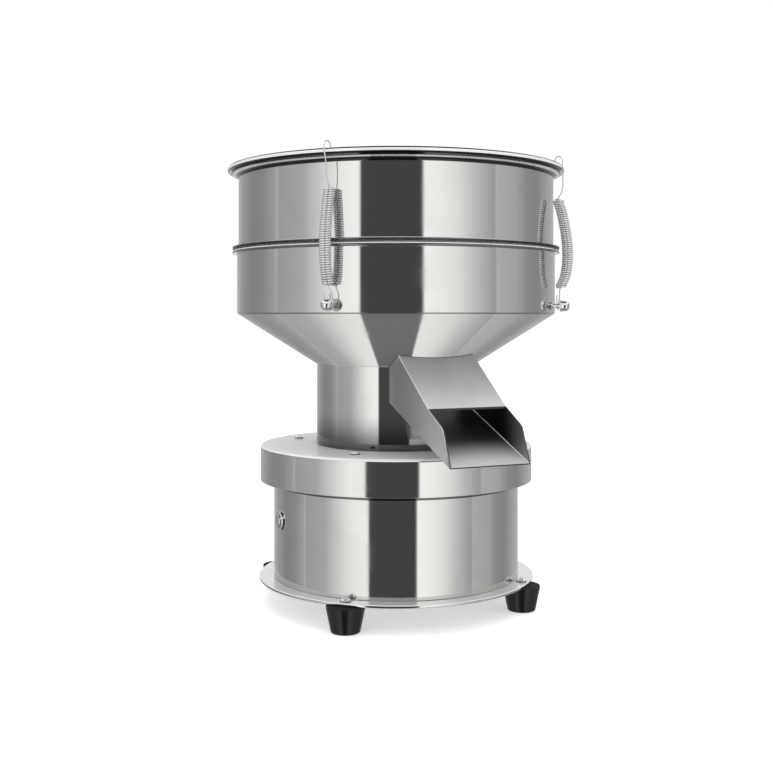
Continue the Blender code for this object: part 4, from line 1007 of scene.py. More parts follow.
# Chute: satin sheet folded into a channel with a hood, and trimmed to the neck and the funnel's cone. The
# hood ends short of the lip, and the front corner of each side is rounded.
CHUTE_SLOPE = math.radians(20.8)
CHUTE_SIDE_DEPTH = 0.0295
CHUTE_SIDE_RAKE = 0.012
CHUTE_CORNER = 0.009
HOOD_SETBACK = 0.037
HOOD_DEPTH = 0.0285
HOOD_SLOPE = math.radians(35.7)
CHUTE_BACK_SHARE = 0.7
SHEET_FOLD = 0.0010
FOLD_STEPS = 4
SEAM_SIZE = 0.0007
SEAM_OVERLAP = 0.0001
SEAM_START = 0.01
SEAM_LIP_GAP = 0.0008
CONE_RISE = 0.0447
FUNNEL_STEP = 0.0013
RIM_OVERHANG = 0.0097
SATIN_COLOUR = (0.93, 0.93, 0.935)
SATIN_ROUGHNESS = 0.34
SATIN_METALLIC = 0.8
FILM_METALLIC = 0.2
FILM_LOOKS_UP = (0.3, 0.75)
# How many brush strokes there are in a metre along each axis, and their depth
STROKES = (2600, 60, 2600)
STROKE_DEPTH = 0.000004
# Painted shade on the chute's sides, back, joints and inside, which is darkest a little behind the hood's
# edge
PAINTED_SIDE_SHADE = 0.80
PAINTED_BACK_SHADE = 0.44
JOINT_LINE = 0.0018
PAINTED_JOINT_SHADOW = 0.15
PAINTED_INSIDE_DARKEST = 0.04
PAINTED_INSIDE_WALL_SHADE = 0.6
DARK_BEHIND = 0.006
# Places in the chute's list of finishes, and the heights above its floor that tell its faces apart
INSIDE_FINISH = 1
EDGE_FINISH = 2
FOLD_FINISH = 3
MOUTH_SLACK = 0.001
FLOOR_ZONE = 0.003
FOLD_ZONE = 0.01
HOOD_ZONE = 0.015
EDGE_ZONE = 0.02

chute_low, chute_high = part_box("chute")
chute_reach = AXIS_Y - chute_low.y
chute_width = chute_high.x - chute_low.x
hood_reach = chute_reach - HOOD_SETBACK
floor_rise = SHEET / math.cos(CHUTE_SLOPE)
hood_fall = SHEET / math.cos(HOOD_SLOPE)
rim_radius = radius_of("sieve_ring")
sieve_wall_radius = rim_radius - RIM_OVERHANG
funnel_radius = sieve_wall_radius + FUNNEL_STEP
funnel_bottom, funnel_top = height_of("funnel")
crease = funnel_bottom + CONE_RISE
cone_rate = CONE_RISE / (funnel_radius - neck_radius)


def chute_floor(reach):
    """Height of the underside of the chute's floor."""
    return chute_low.z + (chute_reach - reach) * math.tan(CHUTE_SLOPE)


def hood_top(reach):
    return chute_floor(hood_reach) + HOOD_DEPTH + (hood_reach - reach) * math.tan(HOOD_SLOPE)


def drawn_mesh(name, corners, width, fold):
    """A side outline of (reach, height, fillet) corners drawn out across X, its long edges folded round."""
    shape = bmesh.new()
    outline = rounded_outline(corners, True)
    verts = [shape.verts.new((-width / 2, AXIS_Y - point.x, point.y)) for point in outline]
    side = shape.faces.new(verts)
    drawn = bmesh.ops.extrude_face_region(shape, geom=[side])
    moved = [item for item in drawn["geom"] if isinstance(item, bmesh.types.BMVert)]
    bmesh.ops.translate(shape, vec=(width, 0, 0), verts=moved)
    bmesh.ops.recalc_face_normals(shape, faces=shape.faces)
    if fold:
        rims = [
            edge for edge in shape.edges
            if abs(edge.verts[0].co.x - edge.verts[1].co.x) < SAME_PLACE
        ]
        bmesh.ops.bevel(
            shape, geom=rims, offset=fold, segments=FOLD_STEPS, profile=0.5, affect="EDGES")
    mesh = bpy.data.meshes.new(name)
    shape.to_mesh(mesh)
    shape.free()
    return mesh


def channel_corners(back):
    """Side view of the space in the chute. It runs out past the lip and over the open mouth."""
    past_lip = chute_reach + CHUTE_SIDE_DEPTH
    above = hood_top(back)
    return [
        (back, chute_floor(back) + floor_rise, 0),
        (past_lip, chute_floor(past_lip) + floor_rise, 0),
        (past_lip, above, 0),
        (hood_reach, above, 0),
        (hood_reach, hood_top(hood_reach) - hood_fall, 0),
        (back, hood_top(back) - hood_fall, 0),
    ]


def brushed_steel(name, colour, roughness, inside=False, outside=False):
    """Satin sheet with short brush strokes along the chute, and a dull film on what faces up.

    The outside has painted shade, darker on its sides and towards the neck, with a painted shadow line
    where it meets the neck and the cone. The inside has painted shade: its floor darkens from the lip
    inwards, and its walls are darker still.
    """
    material, tree, shader, place = new_finish(name)
    stretched = value_of(tree, "ShaderNodeMapping", {"Vector": place, "Scale": STROKES})
    marks = handled(tree, place, roughness, roughness * 1.2)
    facing = facing_of(tree)
    shade = marks["Shade"]
    parts = parts_of(tree, place)
    # Painted shade: the inside darkens from the lip inwards, and more on its walls.
    if inside:
        darkest = DARK_BEHIND - hood_reach
        painted_depth_shade = smooth_range(tree, parts["Y"], -chute_reach, darkest, 1.0, PAINTED_INSIDE_DARKEST)
        on_wall = math_node(tree, "ABSOLUTE", facing["X"])
        painted_wall_shade = smooth_range(tree, on_wall, *TURNED_TO, 1.0, PAINTED_INSIDE_WALL_SHADE)
        shade = math_node(tree, "MULTIPLY", shade, math_node(tree, "MULTIPLY", painted_depth_shade, painted_wall_shade))
    # Painted shade on the sides and towards the neck, and a painted shadow line at the neck and the cone.
    if outside:
        turned = smooth_range(tree, facing["Z"], *FILM_LOOKS_UP, PAINTED_SIDE_SHADE, 1.0)
        along = smooth_range(tree, parts["Y"], -chute_reach, -neck_radius, 1.0, PAINTED_BACK_SHADE)
        reach = vector_math(tree, "LENGTH", vector_math(tree, "MULTIPLY", place, (1, 1, 0)))
        cone_here = math_node(
            tree, "MULTIPLY_ADD", parts["Z"], 1 / cone_rate, neck_radius - funnel_bottom / cone_rate)
        clear = math_node(tree, "SUBTRACT", reach, math_node(tree, "MAXIMUM", cone_here, neck_radius))
        joint = smooth_range(tree, clear, JOINT_LINE * 0.6, JOINT_LINE * 1.3, PAINTED_JOINT_SHADOW, 1.0)
        shade = math_node(tree, "MULTIPLY", shade, math_node(tree, "MULTIPLY", turned, along))
        shade = math_node(tree, "MULTIPLY", shade, joint)
    set_inputs(tree, shader, {
        "Base Color": scaled(tree, colour, shade), "Roughness": marks["Roughness"],
        "Metallic": smooth_range(tree, facing["Z"], *FILM_LOOKS_UP, SATIN_METALLIC, FILM_METALLIC),
        "Normal": bumped(tree, noise(tree, stretched, 1.0, 3.0), STROKE_DEPTH),
    })
    return material


def chute_finish(face):
    """The place of a face of the chute in its list of finishes. The first is the satin outside."""
    reach = AXIS_Y - face.center.y
    above_floor = face.center.z - chute_floor(reach)
    across = abs(face.normal.x)
    outwards = face.normal.x * face.center.x > 0
    at_mouth = reach > hood_reach - MOUTH_SLACK and across < 0.8
    in_wall = across > 0.9 and not outwards
    in_floor = face.normal.z > 0.9 and above_floor < FLOOR_ZONE
    in_hood = face.normal.z < -0.5 and above_floor > HOOD_ZONE
    in_fold = 0.25 < across < 0.95 and outwards and above_floor > FOLD_ZONE
    if at_mouth and (above_floor > EDGE_ZONE or face.normal.y < -0.6):
        return EDGE_FINISH
    if in_wall or in_floor or in_hood:
        return INSIDE_FINISH
    return FOLD_FINISH if in_fold else 0


SATIN_STEEL = brushed_steel("satin_steel", SATIN_COLOUR, SATIN_ROUGHNESS)
CHUTE_OUTSIDE = brushed_steel("chute_satin_steel", SATIN_COLOUR, SATIN_ROUGHNESS, outside=True)
# The inside's darkening is painted shade.
CHUTE_INSIDE_PAINTED_SHADE = brushed_steel("unground_steel", (0.78, 0.78, 0.77), roughness=0.4, inside=True)
# Near-black painted shade for the chute's mouth edges and the hoop's outer edge.
PAINTED_SHADE_EDGE = brushed_steel("cut_edge_steel", (0.07, 0.07, 0.07), roughness=0.4)
# Near-white painted highlight for the chute's folds and its weld seams.
SEAM_PAINTED_HIGHLIGHT = brushed_steel("seam_steel", (0.98, 0.98, 0.97), roughness=0.3)

cone_gap = SEAT_GAP * math.sqrt(1 + cone_rate ** 2) / cone_rate
trim_corners = [
    (0, crease, 0),
    (funnel_radius + cone_gap, crease, 0),
    (neck_radius + cone_gap, funnel_bottom, 0),
    (neck_radius + SEAT_GAP, funnel_bottom - SEAT_GAP, 0),
    (neck_radius + SEAT_GAP, neck_bottom, 0),
    (0, neck_bottom, 0),
]
chute_back = neck_radius * CHUTE_BACK_SHARE
chute_corners = [
    (chute_back, chute_floor(chute_back), 0),
    (chute_reach, chute_floor(chute_reach), 0.0006),
    (chute_reach - CHUTE_SIDE_RAKE, chute_floor(chute_reach) + CHUTE_SIDE_DEPTH, CHUTE_CORNER),
    (hood_reach, hood_top(hood_reach), 0.0006),
    (chute_back, hood_top(chute_back), 0),
]
chute_mesh = cut_mesh(
    drawn_mesh("chute_outside", chute_corners, chute_width, SHEET_FOLD),
    drawn_mesh("chute_inside", channel_corners(0), chute_width - 2 * SHEET, 0),
    turned_mesh("neck_and_cone", trim_corners, loop=False, centre_y=AXIS_Y),
)
chute = new_piece("chute_satin", chute_mesh)
fit_piece(chute, CHUTE_OUTSIDE, "satin_steel", "vibrating_body", "chute")
for other_finish in (CHUTE_INSIDE_PAINTED_SHADE, PAINTED_SHADE_EDGE, SEAM_PAINTED_HIGHLIGHT):
    chute.data.materials.append(other_finish)
for face in chute.data.polygons:
    face.material_index = chute_finish(face)

# Weld seams along the floor's inside corners: real beads, whose near-white finish is a painted highlight.
seam_shape = bmesh.new()
for seam_side in (-1, 1):
    wall_x = seam_side * (chute_width / 2 - SHEET)
    seam_ends = []
    for seam_reach in (neck_radius + SEAM_START, chute_reach - SEAM_LIP_GAP):
        seam_foot = chute_floor(seam_reach) + floor_rise - SEAM_OVERLAP
        seam_places = [
            (wall_x + seam_side * SEAM_OVERLAP, seam_foot),
            (wall_x - seam_side * SEAM_SIZE, seam_foot),
            (wall_x + seam_side * SEAM_OVERLAP, seam_foot + SEAM_SIZE),
        ]
        seam_ends.append([seam_shape.verts.new((x, AXIS_Y - seam_reach, z)) for x, z in seam_places])
    back_end, lip_end = seam_ends
    for i in range(3):
        after = (i + 1) % 3
        seam_shape.faces.new((back_end[i], back_end[after], lip_end[after], lip_end[i]))
    seam_shape.faces.new(back_end)
    seam_shape.faces.new(lip_end)
seams = new_piece("chute_seams", smooth_mesh(seam_shape, "chute_seams"))
seams.data.materials.append(SEAM_PAINTED_HIGHLIGHT)
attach(seams, "vibrating_body")


# Neck: a polished tube between the cap and the funnel, open at the front into the chute. The discharge
# floor in it slopes down to that opening.
NECK_BRIDGE = 0.004
OPENING_BACK_SHARE = 0.5
PAINTED_SHADE_FOOT_HEIGHT = 0.034
PAINTED_SHADE_AT_FOOT = 0.20

neck_inside = neck_radius - SHEET
neck_corners = [
    (neck_inside, neck_top, 0),
    (neck_radius, neck_top, 0),
    (neck_radius, neck_bottom, 0),
    (neck_inside, neck_bottom, 0),
]
opening_back = neck_radius * OPENING_BACK_SHARE
opening_corners = channel_corners(opening_back)[:2]
opening_corners += [
    (chute_reach, neck_top - NECK_BRIDGE, 0),
    (opening_back, neck_top - NECK_BRIDGE, 0),
]
neck_mesh = cut_mesh(
    turned_mesh("neck_tube", neck_corners, centre_y=AXIS_Y),
    drawn_mesh("neck_opening", opening_corners, chute_width - 2 * SHEET, 0),
)
# Painted shade darkens the neck towards its foot on the cap.
NECK_STEEL = spun_steel(
    "neck_steel", painted_foot_shade=(neck_bottom, neck_bottom + PAINTED_SHADE_FOOT_HEIGHT, PAINTED_SHADE_AT_FOOT))
neck = new_piece("neck_polished", neck_mesh)
fit_piece(neck, NECK_STEEL, "polished_steel", "vibrating_body", "neck")
finish_nodes(SATIN_STEEL, "discharge_floor")


# Funnel: spun from one sheet, with a turned-out flange, a short upright wall, a soft crease and a cone
# down to the neck.
FLANGE_WIDTH = 0.0041
FLANGE_THICKNESS = 0.0012
PAINTED_FLANGE_SHADE = 0.3
CREASE_FILLET = 0.0011
CREASE_LINE_BELOW = 0.0008
CREASE_LINE_ABOVE = 0.0005
PAINTED_CREASE_SHADE = 0.5

funnel_inside = funnel_radius - SHEET
flange_radius = funnel_radius + FLANGE_WIDTH
flange_under = funnel_top - FLANGE_THICKNESS
cone_sheet = SHEET * math.sqrt(1 + cone_rate ** 2)
cone_inside_bottom = funnel_bottom + cone_sheet - SHEET * cone_rate
crease_inside = cone_inside_bottom + (funnel_inside - neck_inside) * cone_rate
funnel_corners = [
    (funnel_inside, funnel_top, 0.0003),
    (flange_radius, funnel_top, 0.0005),
    (flange_radius, flange_under, 0.0005),
    (funnel_radius, flange_under, 0.0008),
    (funnel_radius, crease, CREASE_FILLET),
    (neck_radius, funnel_bottom, 0),
    (neck_inside, funnel_bottom, 0),
    (neck_inside, cone_inside_bottom, 0),
    (funnel_inside, crease_inside, CREASE_FILLET),
]
# Painted shade on what faces down, on the flange's edge and along the crease.
FUNNEL_STEEL = spun_steel(
    "spun_funnel_steel", LINE_DEPTH / 2, underside=(-0.88, -0.97, 0.3), lean=0.9,
    bands=[
        (flange_under - SEAT_GAP, funnel_top + SEAT_GAP, PAINTED_FLANGE_SHADE, 0.0),
        (crease - CREASE_LINE_BELOW, crease + CREASE_LINE_ABOVE, PAINTED_CREASE_SHADE, 0.0),
    ],
)
funnel = new_piece("funnel_polished", turned_mesh("funnel", funnel_corners, centre_y=AXIS_Y))
fit_piece(funnel, FUNNEL_STEEL, "polished_steel", "vibrating_body", "funnel")


# Seal, hoop and mesh: a white silicone ring on the funnel's flange, then the wire cloth, then the flat
# steel hoop that keeps it taut.
SEAL_WIDTH = 0.0046
HOOP_WIDTH = 0.0070
HOOP_EDGE = 0.0006
MESH_PITCH = 0.0024
MESH_WIRE_RADIUS = 0.00015
CLOTH_WIRE_SIDES = 4


def flat_ring(name, node, width, fillet):
    """A flat ring with the height and outer radius of its node."""
    bottom, top = height_of(node)
    outer = radius_of(node)
    corners = [
        (outer - width, top, fillet),
        (outer, top, fillet),
        (outer, bottom, fillet),
        (outer - width, bottom, fillet),
    ]
    return new_piece(name, turned_mesh(name, corners, centre_y=AXIS_Y))


WHITE_SILICONE = grained(
    "white_silicone", (0.74, 0.74, 0.72), roughness=0.42, grain=0.0012, depth=0.00001, spread=0.03)
seal = flat_ring("silicone_seal", "seal_ring", SEAL_WIDTH, 0.0003)
fit_piece(seal, WHITE_SILICONE, "white_silicone", "vibrating_body", "seal_ring")
hoop = flat_ring("steel_hoop", "mesh_hoop", HOOP_WIDTH, 0.0002)
fit_piece(hoop, SATIN_STEEL, "satin_steel", "sieve", "mesh_hoop")
# The hoop's outer edge gets the near-black painted shade.
hoop.data.materials.append(PAINTED_SHADE_EDGE)
for face in hoop.data.polygons:
    if Vector((face.center.x, face.center.y - AXIS_Y)).length > radius_of("mesh_hoop") - HOOP_EDGE:
        face.material_index = 1


def make_weave_tree():
    """Wire cloth in a circle: straight rows of wire both ways, each passing over and under by turns."""
    outputs = [("Geometry", "NodeSocketGeometry")]
    tree, start, end = new_group("wire_cloth", "GeometryNodeTree", outputs, [
        ("Geometry", "NodeSocketGeometry", None),
        ("Pitch", "NodeSocketFloat", 0.002),
        ("Wire Radius", "NodeSocketFloat", 0.0002),
        ("Cloth Radius", "NodeSocketFloat", 0.1),
        ("Height", "NodeSocketFloat", 0.0),
        ("Sway", "NodeSocketFloat", 0.0001),
        ("Material", "NodeSocketMaterial", None),
    ])
    given = start.outputs
    span = math_node(tree, "DIVIDE", given["Cloth Radius"], given["Pitch"])
    rows = math_node(tree, "MULTIPLY_ADD", math_node(tree, "FLOOR", span), 2.0, 1.0)
    half = math_node(tree, "MULTIPLY", math_node(tree, "FLOOR", span), given["Pitch"])
    back = math_node(tree, "MULTIPLY", half, -1.0)
    wire = value_of(
        tree, "GeometryNodeCurvePrimitiveLine",
        {"Start": vector_of(tree, x=back), "End": vector_of(tree, x=half)},
    )
    beaded = value_of(tree, "GeometryNodeResampleCurve", {"Curve": wire, "Count": rows})
    places = value_of(tree, "GeometryNodeMeshLine", {
        "Count": rows, "Start Location": vector_of(tree, y=back),
        "Offset": vector_of(tree, y=given["Pitch"]),
    })
    warp = value_of(tree, "GeometryNodeInstanceOnPoints", {"Points": places, "Instance": beaded})
    real_warp = value_of(tree, "GeometryNodeRealizeInstances", {"Geometry": warp})
    place = value_of(tree, "GeometryNodeInputPosition", {})
    parts = parts_of(tree, place)
    turn = math_node(tree, "DIVIDE", math.pi, given["Pitch"])
    wave_x = math_node(tree, "COSINE", math_node(tree, "MULTIPLY", parts["X"], turn))
    wave_y = math_node(tree, "COSINE", math_node(tree, "MULTIPLY", parts["Y"], turn))
    over = math_node(tree, "MULTIPLY", math_node(tree, "MULTIPLY", wave_x, wave_y), given["Sway"])
    waved = value_of(
        tree, "GeometryNodeSetPosition", {"Geometry": real_warp, "Offset": vector_of(tree, z=over)})
    reach = vector_math(tree, "LENGTH", place)
    outside = math_node(tree, "GREATER_THAN", reach, given["Cloth Radius"])
    trimmed = value_of(
        tree, "GeometryNodeDeleteGeometry", {"Geometry": waved, "Selection": outside}, domain="POINT")
    profile = value_of(
        tree, "GeometryNodeCurvePrimitiveCircle",
        {"Resolution": CLOTH_WIRE_SIDES, "Radius": given["Wire Radius"]},
    )
    solid = value_of(
        tree, "GeometryNodeCurveToMesh",
        {"Curve": trimmed, "Profile Curve": profile, "Fill Caps": True},
    )
    flipped = value_of(
        tree, "GeometryNodeTransform", {"Geometry": solid, "Rotation": (math.pi, 0, math.pi / 2)})
    both = add_node(tree, "GeometryNodeJoinGeometry", {"Geometry": solid})
    set_inputs(tree, both, {"Geometry": flipped})
    lift = vector_of(tree, y=AXIS_Y, z=given["Height"])
    raised = value_of(
        tree, "GeometryNodeTransform", {"Geometry": both.outputs["Geometry"], "Translation": lift})
    smooth = value_of(
        tree, "GeometryNodeSetShadeSmooth", {"Geometry": raised, "Shade Smooth": True})
    close_tree(tree, smooth, given["Material"], end)
    return tree


WIRE_CLOTH = bright_metal("wire_cloth", (0.55, 0.55, 0.56), roughness=0.22)
mesh_bottom, mesh_top = height_of("mesh_screen")
cloth = run_tree(
    "wire_cloth", bpy.data.meshes.new("wire_cloth"), make_weave_tree(),
    pitch=MESH_PITCH, wire_radius=MESH_WIRE_RADIUS, cloth_radius=radius_of("mesh_screen"),
    height=(mesh_bottom + mesh_top) / 2, sway=(mesh_top - mesh_bottom) / 2 - MESH_WIRE_RADIUS,
    material=WIRE_CLOTH,
)
fit_piece(new_piece("wire_cloth", cloth), WIRE_CLOTH, "wire_cloth", "sieve", "mesh_screen")


# Sieve ring: spun from polished sheet. The top is rolled into a bead over a stepped flare, and the foot is
# turned out into a flange that matches the funnel's. The light and dark lines on the rim are painted
# reflections, and the flange's edge and what faces down have painted shade.
RIM_BEAD = 0.0022
BEAD_STEPS = 22
BEAD_START = 195
BEAD_SWEEP = 270
RIM_FLARE_HEIGHT = 0.0100
RIM_STEP_INSET = 0.0038
RIM_STEP_SHARE = 0.37
RIM_STEP_HEIGHT = 0.0022
RIM_FOOT_WIDTH = 0.0012
RIM_FOOT_DROP = 0.0020
# Painted reflection lines on the rim: where each starts and ends below the rim's top, its shade and its
# film, where the shade is painted shade and the film a painted highlight
PAINTED_RIM_LINES = [
    (0.0001, 0.0014, 0.12, 0.0),
    (0.0015, 0.0035, 1.0, 0.90),
    (0.0035, 0.0060, 0.13, 0.0),
    (0.0062, 0.0072, 1.0, 0.65),
    (0.0074, 0.0098, 0.22, 0.0),
]

sieve_bottom, sieve_top = height_of("sieve_ring")
sieve_inside = sieve_wall_radius - SHEET
step_radius = rim_radius - RIM_STEP_INSET
step_height = sieve_top - RIM_FLARE_HEIGHT * RIM_STEP_SHARE
lower_step = step_height - RIM_STEP_HEIGHT
flare_bottom = sieve_top - RIM_FLARE_HEIGHT
flange_over = sieve_bottom + FLANGE_THICKNESS
bead = []
for bead_step in range(BEAD_STEPS + 1):
    bead_turn = math.radians(BEAD_START - BEAD_SWEEP * bead_step / BEAD_STEPS)
    bead_across = rim_radius - RIM_BEAD + RIM_BEAD * math.cos(bead_turn)
    bead_up = sieve_top - RIM_BEAD + RIM_BEAD * math.sin(bead_turn)
    bead.append((bead_across, bead_up, 0))
sieve_corners = bead + [
    (step_radius, step_height, 0.0003),
    (step_radius, lower_step, 0.0007),
    (sieve_wall_radius + RIM_FOOT_WIDTH, lower_step - RIM_FOOT_DROP, 0.0015),
    (sieve_wall_radius, flare_bottom, 0.002),
    (sieve_wall_radius, flange_over, 0.0008),
    (flange_radius, flange_over, 0.0005),
    (flange_radius, sieve_bottom, 0.0005),
    (sieve_inside, sieve_bottom, 0.0003),
    (sieve_inside, flare_bottom + 0.0004, 0.002),
    (step_radius - SHEET, step_height - SHEET, 0.002),
]
sieve_painted_bands = []
for line_top, line_foot, painted_line_shade, painted_line_highlight in PAINTED_RIM_LINES:
    sieve_painted_bands.append((sieve_top - line_foot, sieve_top - line_top, painted_line_shade, painted_line_highlight))
sieve_painted_bands.append((sieve_bottom - SEAT_GAP, flange_over + SEAT_GAP, PAINTED_FLANGE_SHADE, 0.0))
# Painted shade on what faces down, under the rim's flare.
SIEVE_STEEL = spun_steel("spun_sieve_steel", underside=(-0.12, -0.4, 0.3), bands=sieve_painted_bands)
sieve_ring = new_piece("sieve_ring_polished", turned_mesh("sieve_ring", sieve_corners, centre_y=AXIS_Y))
fit_piece(sieve_ring, SIEVE_STEEL, "polished_steel", "sieve", "sieve_ring")


# Studs and nuts: four studs welded to the funnel's wall under the flange, each with a domed, chromed nut
# whose collar keeps the spring's loop on the stud.
STUD_RISE = 0.0063
STUD_FOOT_RADIUS = 0.0038
STUD_FOOT_THICKNESS = 0.0013
STUD_RADIUS = 0.002
STUD_LENGTH = 0.0136
NUT_START = 0.0080
NUT_LENGTH = 0.0075
NUT_RADIUS = 0.0046
NUT_COLLAR_RADIUS = 0.0052
NUT_COLLAR_THICKNESS = 0.0010
NUT_DOME_SHARE = 0.86

stud_height = crease + STUD_RISE
stud_corners = [
    (0, STUD_LENGTH, 0),
    (STUD_RADIUS, STUD_LENGTH, 0.0003),
    (STUD_RADIUS, STUD_FOOT_THICKNESS, 0.0003),
    (STUD_FOOT_RADIUS, STUD_FOOT_THICKNESS, 0.0003),
    (STUD_FOOT_RADIUS, 0, 0.0002),
    (0, 0, 0),
]
nut_corners = [
    (0, NUT_START + NUT_LENGTH, 0),
    (NUT_RADIUS, NUT_START + NUT_LENGTH, NUT_RADIUS * NUT_DOME_SHARE),
    (NUT_RADIUS, NUT_START + NUT_COLLAR_THICKNESS, 0.0003),
    (NUT_COLLAR_RADIUS, NUT_START + NUT_COLLAR_THICKNESS, 0.0003),
    (NUT_COLLAR_RADIUS, NUT_START, 0.0003),
    (STUD_RADIUS + SEAT_GAP, NUT_START, 0),
    (STUD_RADIUS + SEAT_GAP, STUD_LENGTH + SEAT_GAP, 0),
    (0, STUD_LENGTH + SEAT_GAP, 0),
]
for wall_name, wall_corners, wall_node in (
    ("spring_studs", stud_corners, "spring_stud"),
    ("domed_nuts", nut_corners, "stud_nut"),
):
    wall_mesh = run_tree(
        wall_name, turned_mesh(wall_name, wall_corners, loop=False, steps=FITTING_STEPS), RING_OF_COPIES,
        circle=funnel_radius + SEAT_GAP, height=stud_height, tilt=math.radians(90), material=CHROME,
    )
    wall_nodes = [f"{wall_node}_{place}" for place in CORNER_PLACES]
    fit_piece(new_piece(wall_name, wall_mesh), CHROME, "chrome", "vibrating_body", *wall_nodes)


# Hooked springs: close coils of drawn wire, slightly bowed, that pull the sieve down on its seal. A loop
# goes round the stud below, and a hook over the rim above.
SPRING_WIRE = 0.0005
COIL_WIRE = 0.0009
SPRING_COIL_RADIUS = 0.0039
SPRING_TURNS = 42.0
SPRING_POINTS = 1500
WIRE_SIDES = 8
RUN_IN_TURNS = 0.8
SPRING_COIL_START = 0.015
SPRING_BOW = 0.0070
BOW_SKEW = 0.75
LOOP_SEAT = 0.0055
HOOK_LENGTH = 0.0305
HOOK_OUTREACH = 0.0020
HOOK_LEAN = 0.0012
PAINTED_GROOVE_SHADE = 0.7
SPRING_SMUDGE = 0.006
SPRING_ANGLES = {"front_left": -135, "front_right": -45, "rear_right": 45, "rear_left": 135}

loop_circle = funnel_radius + SEAT_GAP + LOOP_SEAT
hook_top = height_of("hook_spring_front_left")[1]
rim_rise = sieve_top - stud_height
coil_end = rim_rise - HOOK_LENGTH


def make_spring_tree():
    """Winds a guide curve into a coil between two heights and gives it the thickness of the wire."""
    outputs = [("Geometry", "NodeSocketGeometry")]
    tree, start, end = new_group("hooked_coil", "GeometryNodeTree", outputs, [
        ("Geometry", "NodeSocketGeometry", None),
        ("Wire Radius", "NodeSocketFloat", 0.0005),
        ("Coil Wire Radius", "NodeSocketFloat", 0.0009),
        ("Coil Radius", "NodeSocketFloat", 0.004),
        ("Turns", "NodeSocketFloat", 40.0),
        ("Coil Start", "NodeSocketFloat", 0.0),
        ("Coil End", "NodeSocketFloat", 0.1),
        ("Points", "NodeSocketInt", 1000),
        ("Material", "NodeSocketMaterial", None),
    ])
    given = start.outputs
    fine = value_of(
        tree, "GeometryNodeResampleCurve", {"Curve": given["Geometry"], "Count": given["Points"]})
    height = parts_of(tree, value_of(tree, "GeometryNodeInputPosition", {}))["Z"]
    share = value_of(
        tree, "ShaderNodeMapRange",
        {"Value": height, "From Min": given["Coil Start"], "From Max": given["Coil End"]},
    )
    run_in = math_node(tree, "DIVIDE", RUN_IN_TURNS, given["Turns"])
    opening = smooth_range(tree, share, 0.0, run_in)
    closing = smooth_range(tree, math_node(tree, "SUBTRACT", 1.0, share), 0.0, run_in)
    spread = math_node(tree, "MULTIPLY", opening, closing)
    radius = math_node(tree, "MULTIPLY", spread, given["Coil Radius"])
    turn = math_node(tree, "MULTIPLY", math_node(tree, "MULTIPLY", share, given["Turns"]), 2 * math.pi)
    x = math_node(tree, "MULTIPLY", math_node(tree, "COSINE", turn), radius)
    y = math_node(tree, "MULTIPLY", math_node(tree, "SINE", turn), radius)
    wound = value_of(
        tree, "GeometryNodeSetPosition", {"Geometry": fine, "Offset": vector_of(tree, x, y)})
    more = math_node(tree, "SUBTRACT", given["Coil Wire Radius"], given["Wire Radius"])
    thickness = math_node(tree, "MULTIPLY_ADD", more, spread, given["Wire Radius"])
    profile = value_of(
        tree, "GeometryNodeCurvePrimitiveCircle", {"Resolution": WIRE_SIDES, "Radius": 1.0})
    wire = value_of(
        tree, "GeometryNodeCurveToMesh",
        {"Curve": wound, "Profile Curve": profile, "Scale": thickness, "Fill Caps": True},
    )
    smooth = value_of(tree, "GeometryNodeSetShadeSmooth", {"Geometry": wire, "Shade Smooth": True})
    close_tree(tree, smooth, given["Material"], end)
    return tree


def coil_middle(share):
    """How far the bowed coil's middle line lies outwards from the stud's loop."""
    first = SPRING_COIL_RADIUS * 0.5
    last = rim_radius + HOOK_OUTREACH - SPRING_COIL_RADIUS - loop_circle
    return first + (last - first) * share + SPRING_BOW * math.sin(math.pi * share ** BOW_SKEW)


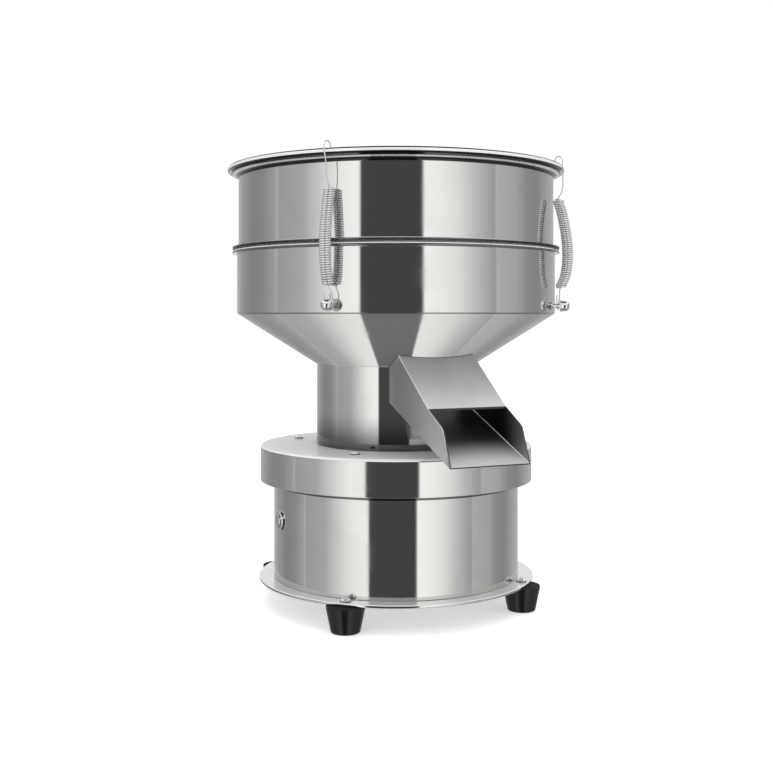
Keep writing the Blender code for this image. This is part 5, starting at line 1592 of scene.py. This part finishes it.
def spring_guide():
    """Middle line of the spring: X outwards from the stud's loop, Y round the machine, Z up."""
    loop = STUD_RADIUS + SEAT_GAP + SPRING_WIRE
    points = [(0.0005, -loop * 1.9, loop * 3.2), (0, -loop * 1.4, loop * 1.3)]
    for degrees in (180, 225, 270, 315, 360):
        turn = math.radians(degrees)
        points.append((0, loop * math.cos(turn), loop * math.sin(turn)))
    points.append((coil_middle(0) * 0.5, loop * 0.9, SPRING_COIL_START * 0.6))
    for share in (0, 0.12, 0.25, 0.4, 0.55, 0.7, 0.85, 1):
        points.append((coil_middle(share), 0, SPRING_COIL_START + (coil_end - SPRING_COIL_START) * share))
    outside = rim_radius + HOOK_OUTREACH - loop_circle
    crest = hook_top - stud_height - SPRING_WIRE
    over = outside - RIM_BEAD - HOOK_OUTREACH
    rise = crest - rim_rise
    points += [
        (outside * 0.75 + coil_middle(1) * 0.25, -HOOK_LEAN * 0.4, coil_end + HOOK_LENGTH * 0.2),
        (outside, -HOOK_LEAN, rim_rise - RIM_FLARE_HEIGHT),
        (outside, -2 * HOOK_LEAN, rim_rise - RIM_BEAD),
        (outside - HOOK_OUTREACH * 0.2, -2 * HOOK_LEAN, rim_rise + rise / 2),
        (over + HOOK_OUTREACH * 0.7, -1.5 * HOOK_LEAN, crest - rise * 0.05),
        (over - HOOK_OUTREACH * 0.2, -HOOK_LEAN, crest),
        (over - RIM_BEAD, -HOOK_LEAN / 2, crest - rise * 0.3),
        (over - RIM_BEAD - HOOK_OUTREACH * 0.4, 0, rim_rise + rise * 0.1),
    ]
    guide = bpy.data.curves.new("spring_guide", "CURVE")
    guide.dimensions = "3D"
    line = guide.splines.new("BEZIER")
    line.bezier_points.add(len(points) - 1)
    for target, point in zip(line.bezier_points, points):
        target.co = point
        target.handle_left_type = "AUTO"
        target.handle_right_type = "AUTO"
    return guide


def coiled_steel(name, colour, roughness, metallic):
    """Drawn spring wire with a dull plating, and painted shade in the grooves between its turns."""
    material, tree, shader, place = new_finish(name)
    marks = handled(tree, place, roughness, roughness * 1.6, SPRING_SMUDGE)
    slant = math_node(tree, "ABSOLUTE", facing_of(tree)["Z"])
    # Painted shade where the wire faces up or down into the grooves.
    groove_painted_shade = smooth_range(tree, slant, *TURNED_TO, 1.0, PAINTED_GROOVE_SHADE)
    shade = math_node(tree, "MULTIPLY", marks["Shade"], groove_painted_shade)
    set_inputs(tree, shader, {
        "Base Color": scaled(tree, colour, shade), "Metallic": metallic, "Roughness": marks["Roughness"],
    })
    return material


SPRING_STEEL = coiled_steel("spring_steel", (0.84, 0.84, 0.85), roughness=0.18, metallic=0.65)
spring_mesh = run_tree(
    "hooked_coil", spring_guide(), make_spring_tree(),
    wire_radius=SPRING_WIRE, coil_wire_radius=COIL_WIRE, coil_radius=SPRING_COIL_RADIUS,
    turns=SPRING_TURNS, coil_start=SPRING_COIL_START, coil_end=coil_end, points=SPRING_POINTS,
    material=SPRING_STEEL,
)
for spring_place, spring_angle in SPRING_ANGLES.items():
    hung = spring_mesh.copy()
    round_axis = Matrix.Translation((0, AXIS_Y, 0)) @ Matrix.Rotation(math.radians(spring_angle), 4, "Z")
    hung.transform(round_axis @ Matrix.Translation((loop_circle, 0, stud_height)))
    spring = new_piece(f"coil_spring_{spring_place}", hung)
    fit_piece(
        spring, SPRING_STEEL, "spring_steel", f"spring_{spring_place}", f"hook_spring_{spring_place}")
bpy.data.meshes.remove(spring_mesh)
